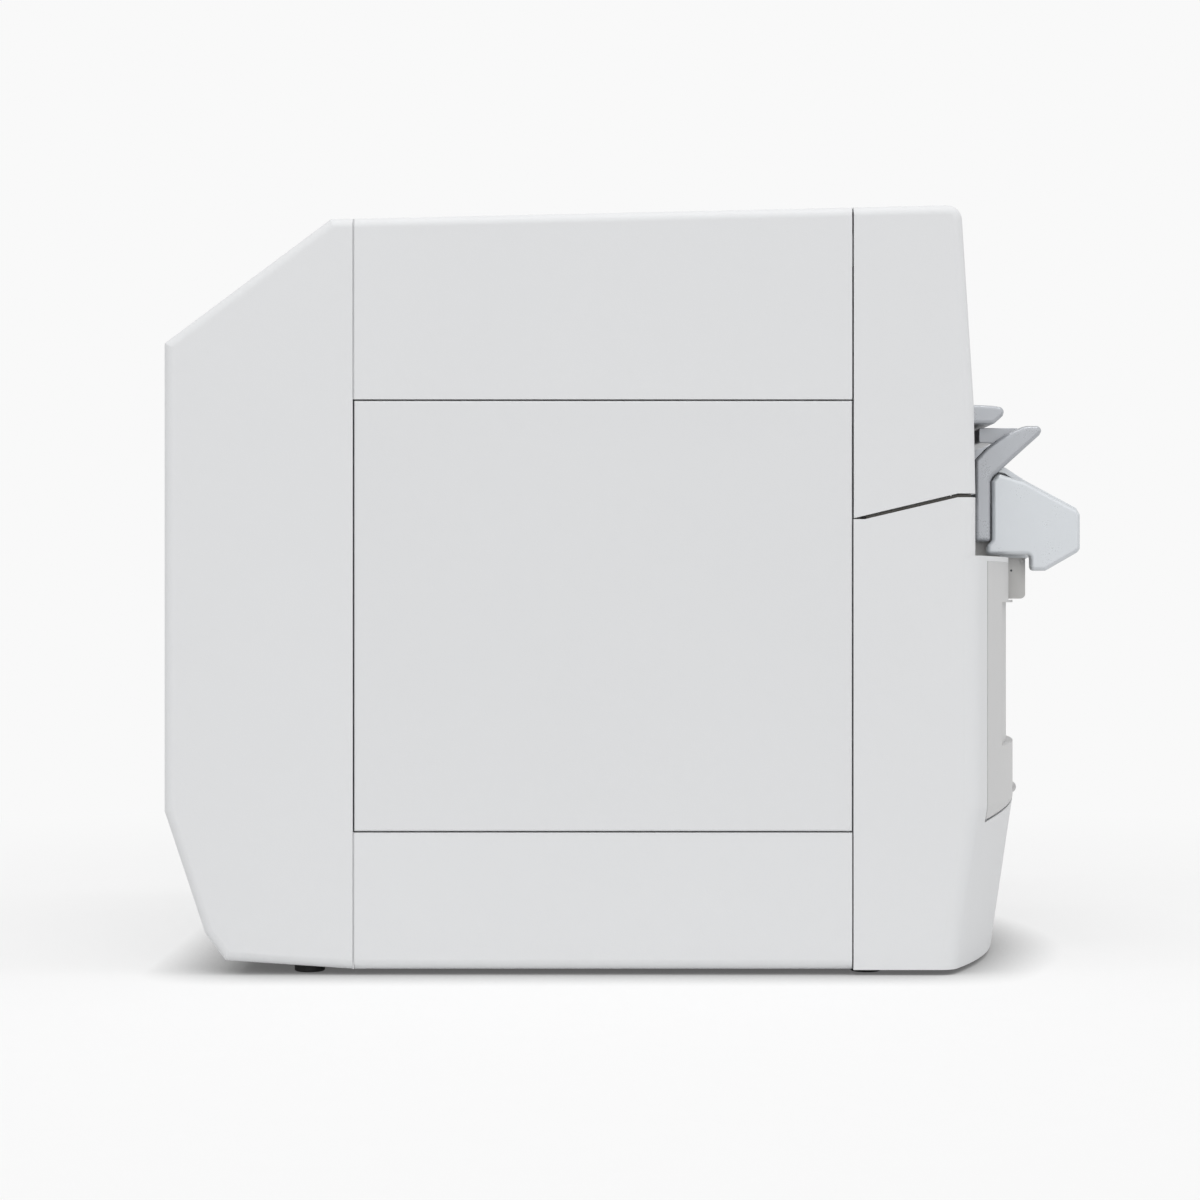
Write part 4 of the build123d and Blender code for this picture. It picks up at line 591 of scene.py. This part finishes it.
# peeler: the horned lever, the swinging block and the visor over them
peeler = {"innerY": 86.0, "outerY": 94.0, "leverCorner": 2.6, "leverRim": 2.7, "barLap": 1.0, "barCorner": 1.2,
          "barRim": 0.4, "blockCorner": 2.6, "blockRim": 2.6, "cheekLap": 0.5, "plateGap": 0.4,
          "plateCorner": 2.0, "plateRim": 0.5, "ribs": (-44.0, 0.0, 44.0), "ribHalf": 1.0, "ribCorner": 0.6,
          "ribRim": 0.25, "visorHalf": 105.0, "visorCorner": 2.4, "visorRim": 2.4}
# side outlines in X and Z, in millimetres, with sharp corners
hornLine = [(211.4, 256.4), (211.4, 306.6), (218.6, 314.1), (225.0, 318.9), (232.4, 323.7), (240.3, 327.2),
            (243.6, 328.0), (251.0, 328.0), (253.2, 325.4), (251.6, 322.3), (231.2, 303.9), (222.8, 296.5),
            (221.4, 293.6), (221.4, 256.4)]
barLine = [(215.0, 318.0), (215.0, 327.0), (239.3, 327.0), (239.3, 324.0), (223.3, 317.4)]
cheekLine = [(222.1, 257.4), (222.1, 293.6), (226.2, 298.6), (242.9, 293.2), (275.0, 276.0), (276.6, 273.5),
             (276.6, 252.0), (275.0, 249.8), (255.2, 238.4), (245.7, 238.4), (245.7, 248.2), (218.7, 248.2),
             (219.0, 254.0)]
plateLine = [(225.3, 303.5), (231.6, 302.5), (243.9, 294.5), (275.6, 277.4), (276.6, 275.0), (276.6, 252.0),
             (273.7, 252.0), (273.7, 274.0), (243.1, 291.0), (230.9, 298.8), (225.3, 299.8)]
ribLine = [(231.3, 299.0), (243.3, 291.4), (274.2, 274.4), (274.2, 269.0), (241.3, 286.0), (232.3, 293.0)]
visorLine = [(198.5, 340.8), (221.3, 339.6), (226.6, 338.7), (228.0, 336.2), (227.2, 333.4), (221.6, 328.4),
             (200.5, 328.4)]


def bothSides(outline, inner, outer, corner, rim):
    return [moulding(outline, inner, outer, corner, rim), moulding(outline, -outer, -inner, corner, rim)]


inner, outer = peeler["innerY"], peeler["outerY"]
barEnd, plateEnd = inner + peeler["barLap"], inner - peeler["plateGap"]
leverParts = bothSides(hornLine, inner, outer, peeler["leverCorner"], peeler["leverRim"])
leverParts.append(moulding(barLine, -barEnd, barEnd, peeler["barCorner"], peeler["barRim"]))
blockParts = bothSides(cheekLine, inner - peeler["cheekLap"], outer, peeler["blockCorner"],
                       peeler["blockRim"])
blockParts.append(moulding(plateLine, -plateEnd, plateEnd, peeler["plateCorner"], peeler["plateRim"]))
blockParts += [moulding(ribLine, y - peeler["ribHalf"], y + peeler["ribHalf"], peeler["ribCorner"],
                        peeler["ribRim"]) for y in peeler["ribs"]]
visorHalf = peeler["visorHalf"]
visorParts = [moulding(visorLine, -visorHalf, visorHalf, peeler["visorCorner"], peeler["visorRim"])]
for node, label, finish, slotName, parts in (
        ("release_lever", "hornedLever", "leverPlastic", "lever_plastic", leverParts),
        ("peel_block", "peelerBlock", "silverPlastic", "silver_plastic", blockParts),
        ("visor", "smoothVisor", "leverPlastic", "silver_plastic", visorParts)):
    piece = turnOut(addPiece(label, *join(parts), finish, bodyOf(node)))
    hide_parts(node)
print("peeler mouldings made")

# the peeler's foot: a merged copy of its CAD mesh with narrow rounded edges
softEdges = {"width": 0.7, "steps": 3, "sharper": 32.0, "flatWithin": 0.4, "mergeWithin": 0.001}
shape = bmesh.new()
shape.from_mesh(nodes["peel_base"].data)
bmesh.ops.remove_doubles(shape, verts=shape.verts, dist=softEdges["mergeWithin"] * mm)
bmesh.ops.dissolve_limit(shape, angle_limit=math.radians(softEdges["flatWithin"]), verts=shape.verts,
                         edges=shape.edges)
footMesh = bpy.data.meshes.new("roundedFoot")
shape.to_mesh(footMesh)
shape.free()
footMesh.materials.append(finishes["greyPlastic"])
footMesh.polygons.foreach_set("use_smooth", np.ones(len(footMesh.polygons), bool))
roundedFoot = bpy.data.objects.new("roundedFoot", footMesh)
bpy.context.scene.collection.objects.link(roundedFoot)
rounding = roundedFoot.modifiers.new("roundedEdges", "BEVEL")
rounding.width, rounding.segments = softEdges["width"] * mm, softEdges["steps"]
rounding.limit_method, rounding.angle_limit = "ANGLE", math.radians(softEdges["sharper"])
rounding.use_clamp_overlap, rounding.harden_normals = True, True
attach(roundedFoot, bodyOf("peel_base"))
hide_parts("peel_base")
print("foot edges rounded")

# pale lip behind the rear seam, where the casing's shells overlap
seamLip = {"x": -164.9, "halfWide": 0.33, "halfDeep": 0.75, "sunk": 0.25, "side": 170.0, "roof": 445.2,
           "round": 6.0, "panelHigh": 338.3, "panelLow": 83.9, "foot": 3.6}
inside = seamLip["sunk"] + seamLip["halfDeep"]
flatY, roofZ = seamLip["side"] - inside, seamLip["roof"] - inside
bend, a = seamLip["round"] - inside, np.linspace(0, math.pi / 2, 9)
climb = np.stack([-(flatY - bend) - bend * np.cos(a), (roofZ - bend) + bend * np.sin(a)], 1)
over = np.concatenate([[[-flatY, seamLip["panelHigh"]]], climb, climb[::-1] * [-1, 1],
                       [[flatY, seamLip["panelHigh"]]]])
outOver = np.concatenate([[[-1, 0]], np.stack([-np.cos(a), np.sin(a)], 1),
                          np.stack([np.cos(a), np.sin(a)], 1)[::-1], [[1, 0]]])
lipProfile = np.array(square) * [seamLip["halfWide"], seamLip["halfDeep"]] * mm


def lipAlong(line, outward):
    # A rectangle carried along a line in Y and Z, at one place along the machine.
    path = np.concatenate([np.full((len(line), 1), seamLip["x"]), line], 1) * mm
    up = np.concatenate([np.zeros((len(line), 1)), outward], 1)
    return carry(path, np.tile([1.0, 0, 0], (len(line), 1)), up, lipProfile)


lipParts = [lipAlong(over, outOver)]
for side in (-1, 1):
    drop = np.array([(side * flatY, seamLip["foot"]), (side * flatY, seamLip["panelLow"])])
    lipParts.append(lipAlong(drop, np.array([(side, 0.0), (side, 0.0)])))
lip = turnOut(addPiece("rearSeamLip", *join(lipParts), "sidePlastic", bodyOf("rear_housing"), smooth=False))
print("rear seam lip made")

# operation panel: symbols, status lights and ink bars
panel = {"tilt": 3.8, "strokeHalf": 0.42, "strokeHigh": 0.16, "strokeFoot": 0.03}
tilt = math.radians(panel["tilt"])
panelOut = np.array([math.cos(tilt), 0.0, math.sin(tilt)])
panelUp = np.array([-math.sin(tilt), 0.0, math.cos(tilt)])
panelRight = np.array([0.0, 1.0, 0.0])


def faceOf(node):
    # Middle of a panel piece's outer face.
    corners = np.array([vertex.co for vertex in nodes[node].data.vertices])
    u, v, out = corners @ panelRight, corners @ panelUp, corners @ panelOut
    return panelRight * (u.min() + u.max()) / 2 + panelUp * (v.min() + v.max()) / 2 + panelOut * out.max()


def stroke(middle, line, half=None, high=None, ways=(panelRight, panelUp, panelOut)):
    # A low rounded ridge along a line of flat points: half an ellipse above the face, a thin foot below it.
    half, high = half or panel["strokeHalf"], high or panel["strokeHigh"]
    right, up, out = (np.array(way, float) for way in ways)
    line = np.array(line, float) * mm
    path = middle + line[:, :1] * right + line[:, 1:] * up
    closed = bool(np.allclose(path[0], path[-1]))
    path = path[:-1] if closed else path
    ahead = np.roll(path, -1, 0) - np.roll(path, 1, 0) if closed else np.gradient(path, axis=0)
    ahead /= np.linalg.norm(ahead, axis=1)[:, None]
    across = np.cross(ahead, out)
    turn = np.linspace(0, math.pi, 9)
    profile = np.concatenate([np.stack([np.cos(turn) * half, np.sin(turn) * high], 1),
                              [[-half, -panel["strokeFoot"]], [half, -panel["strokeFoot"]]]]) * mm
    return carry(path, across, np.tile(out, (len(path), 1)), profile[::-1], closed)


def arc(radius, start, end, count=28):
    # Radius times cosine and sine, from one angle in degrees to the other.
    a = np.radians(np.linspace(start, end, count))
    return np.stack([radius * np.cos(a), radius * np.sin(a)], 1)


# each key's strokes, in millimetres from the middle of its face
symbols = {
    "power_key": [arc(2.5, 125, 415), [(0, 0.6), (0, 3.4)]],
    "pause_key": [[(-1.1, -1.9), (-1.1, 1.9)], [(1.1, -1.9), (1.1, 1.9)]],
    "feed_key": [[(0, 2.1), (0, -1.6)], [(-1.7, 0.1), (0, -1.9), (1.7, 0.1)]],
    "cancel_key": [[(-1.7, -1.7), (1.7, 1.7)], [(-1.7, 1.7), (1.7, -1.7)]],
    "up_key": [[(-2.2, -1.2), (0, 1.2), (2.2, -1.2)]],
    "ok_key": [arc(1.9, 0, 360, 37)],
    "down_key": [[(-2.2, 1.2), (0, -1.2), (2.2, 1.2)]],
}
for key, lines in symbols.items():
    points, faces = join([stroke(faceOf(key), line) for line in lines])
    mark = addPiece("symbol_" + key, points, faces, "darkPrintAndHoleShade" if key == "power_key" else "markWhite",
                    bodyOf(key))
print("key symbols made")

# status lights over the first three keys, and a plain ink gauge on the screen
gauge = {"lights": [(-49.0, -12.5, "lampGreen"), (-30.0, -12.5, "lampAmber"), (-11.0, -12.5, "lampGreen")],
         "lightRadius": 1.5, "lightHigh": 0.5, "lightSunk": 0.2, "barHalf": 2.6, "barHigh": 0.04, "foot": -9.5,
         "bars": [(-15.0, 6.5, "barBlack"), (-5.0, 3.0, "barCyan"), (5.0, 8.0, "barMagenta"),
                  (15.0, 0.5, "barYellow")],
         "frame": (22.0, 13.0), "frameCorner": 2.0, "frameHalf": 0.25, "frameHigh": 0.03}
for number, (u, v, finish) in enumerate(gauge["lights"], 1):
    centre = faceOf("panel_bezel") + (u * panelRight + v * panelUp) * mm
    points, faces = dome(centre, panelOut, panelRight, gauge["lightRadius"] * mm, gauge["lightHigh"] * mm,
                         gauge["lightSunk"] * mm)
    light = turnOut(addPiece("statusLight%d" % number, points, faces, finish, bodyOf("panel_bezel")))
for number, (u, top, finish) in enumerate(gauge["bars"], 1):
    points, faces = stroke(faceOf("display_lens"), [(u, gauge["foot"]), (u, top)], gauge["barHalf"],
                           gauge["barHigh"])
    bar = turnOut(addPiece("inkBar%d" % number, points, faces, finish, bodyOf("display_lens")))
window = roundedOutline(np.array(square) * gauge["frame"], gauge["frameCorner"])
points, faces = stroke(faceOf("display_lens"), np.concatenate([window, window[:1]]), gauge["frameHalf"],
                       gauge["frameHigh"])
frameLine = turnOut(addPiece("gaugeFrame", points, faces, "markWhite", bodyOf("display_lens")))
print("panel lights and gauge made")

# dark strip in the gap between the upper cover and the lower housing: painted shade where the gap would show
# into the machine
seamShadeLine = {"line": [(136.6, 268.2), (190.3, 280.9), (198.2, 280.9)], "high": 1.6, "outer": 168.5, "inner": 167.2,
        "corner": 0.3}


def seamShadeAlong(side):
    # A rounded rectangle carried along the line in X and Z, standing on it.
    line = np.array(seamShadeLine["line"]) * mm
    wide, high = seamShadeLine["outer"] - seamShadeLine["inner"], seamShadeLine["high"]
    path = np.stack([line[:, 0], np.full(len(line), side * (seamShadeLine["outer"] + seamShadeLine["inner"]) / 2 * mm),
                     line[:, 1] + high / 2 * mm], 1)
    box = roundedOutline(np.array(square) * [wide / 2, high / 2], seamShadeLine["corner"], steps=4) * mm
    return carry(path, np.tile([0, 1.0, 0], (len(line), 1)), np.tile([0, 0, 1.0], (len(line), 1)), box)


# painted shade: a dark strip standing in for the shade inside the split
seamShadeMesh = turnOut(addPiece("seamShadeStrip", *join([seamShadeAlong(-1), seamShadeAlong(1)]), "gasketFoam",
                          bodyOf("front_lower_housing")))
print("split gasket made")

# moulding marks on the peeler's foot: a small hole, drawn as a dark disc of painted shade, and a round stub, on
# both sides
footMarks = {"face": 84.0, "hole": (235.4, 238.7), "stub": (242.2, 244.6), "holeRadius": 0.7, "holeHigh": 0.06,
             "holeSunk": 0.3, "stubRadius": 1.3, "stubHalf": 0.22, "stubHigh": 0.14}
for side, label in ((-1, "right"), (1, "left")):
    ways = ((1, 0, 0), (0, 0, 1), (0, side, 0))
    holeAt = np.array([footMarks["hole"][0], side * footMarks["face"], footMarks["hole"][1]]) * mm
    stubAt = np.array([footMarks["stub"][0], side * footMarks["face"], footMarks["stub"][1]]) * mm
    # painted shade: the hole is a dark disc, not a sunken hole
    points, faces = dome(holeAt, ways[2], ways[0], footMarks["holeRadius"] * mm, footMarks["holeHigh"] * mm,
                         footMarks["holeSunk"] * mm)
    holeShadeDisc = turnOut(addPiece("footHoleShade_" + label, points, faces, "darkPrintAndHoleShade", bodyOf("peel_base")))
    points, faces = stroke(stubAt, arc(footMarks["stubRadius"], 0, 360, 33), footMarks["stubHalf"],
                           footMarks["stubHigh"], ways)
    ring = turnOut(addPiece("footStub_" + label, points, faces, "greyPlastic", bodyOf("peel_base")))
print("foot marks made")

# back: four pan-head screws on the connector plate, contacts in the network socket
rear = {"plateX": -273.7, "screws": [(-137.0, 124.0), (-29.0, 124.0), (-137.0, 212.0), (-29.0, 212.0)],
        "headRadius": 3.0, "headHigh": 1.3, "slotHalf": 0.42, "slotDeep": 0.7, "slotEdge": 0.14,
        "slotEnd": 0.62, "endFade": 0.06, "rings": 22, "around": 64, "socketY": -48.0, "socketTop": 197.2,
        "wireRadius": 0.22, "pitch": 1.02, "wires": 8}


def screwHead(y, z):
    # Height over the plate: high (1 - (r/R)^3), less the cross: slotDeep where either flat distance is under
    # slotHalf, ending at slotEnd of the radius R.
    r = np.sin(np.linspace(0, 1, rear["rings"]) * math.pi / 2)[:, None]
    a = np.linspace(0, 2 * math.pi, rear["around"], endpoint=False)[None, :]
    flatY, flatZ = r * np.cos(a) * rear["headRadius"], r * np.sin(a) * rear["headRadius"]
    nearest = np.minimum(np.abs(flatY), np.abs(flatZ))
    cross = (np.clip((rear["slotHalf"] - nearest) / rear["slotEdge"] + 0.5, 0, 1)
             * np.clip((rear["slotEnd"] - r) / rear["endFade"] + 0.5, 0, 1))
    high = rear["headHigh"] * (1 - r ** 3) - cross * rear["slotDeep"]
    grid = np.stack([rear["plateX"] - high, y + flatY, z + flatZ + 0 * high], -1) * mm
    return grid, gridFaces(rear["rings"], rear["around"])


screws = turnOut(addPiece("plateScrews", *join([screwHead(y, z) for y, z in rear["screws"]]), "screwSteel",
                          bodyOf("connector_plate")))


def roundWire(line, radius, around=10):
    # A circle carried along a line of points.
    path = np.array(line, float) * mm
    ahead = np.gradient(path, axis=0)
    ahead /= np.linalg.norm(ahead, axis=1)[:, None]
    across = np.tile([0, 1.0, 0], (len(path), 1))
    a = np.linspace(0, 2 * math.pi, around, endpoint=False)
    return carry(path, across, np.cross(ahead, across), np.stack([np.cos(a), np.sin(a)], 1) * radius * mm)


contactLine = [(-274.4, 0.0), (-272.6, -0.5), (-270.0, -2.0), (-267.6, -3.3), (-266.2, -3.6)]
middleWire = (rear["wires"] - 1) / 2
contacts = [roundWire([(x, rear["socketY"] + (k - middleWire) * rear["pitch"], rear["socketTop"] + z)
                       for x, z in contactLine], rear["wireRadius"]) for k in range(rear["wires"])]
springs = turnOut(addPiece("socketContacts", *join(contacts), "goldPlate", bodyOf("data_sockets")))
print("screws and contacts made")

# a drop mark on each cartridge's front
dropMark = {"x": 183.3, "z": 150.0, "round": 4.2, "tip": 9.5, "strokeHalf": 0.5, "strokeHigh": 0.25}
dropLine = np.concatenate([arc(dropMark["round"], -225, 45, 31), [(0, dropMark["tip"])]])
dropLine = np.concatenate([dropLine, dropLine[:1]])
for colour in ("black", "cyan", "magenta", "yellow"):
    node = "ink_cartridge_" + colour
    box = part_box(node)
    centre = np.array([dropMark["x"] * mm, (box[0][1] + box[1][1]) / 2, dropMark["z"] * mm])
    points, faces = stroke(centre, dropLine, dropMark["strokeHalf"], dropMark["strokeHigh"],
                           ((0, 1, 0), (0, 0, 1), (1, 0, 0)))
    drop = turnOut(addPiece("inkDrop_" + colour, points, faces, "markWhite", bodyOf(node)))
print("drop marks made")
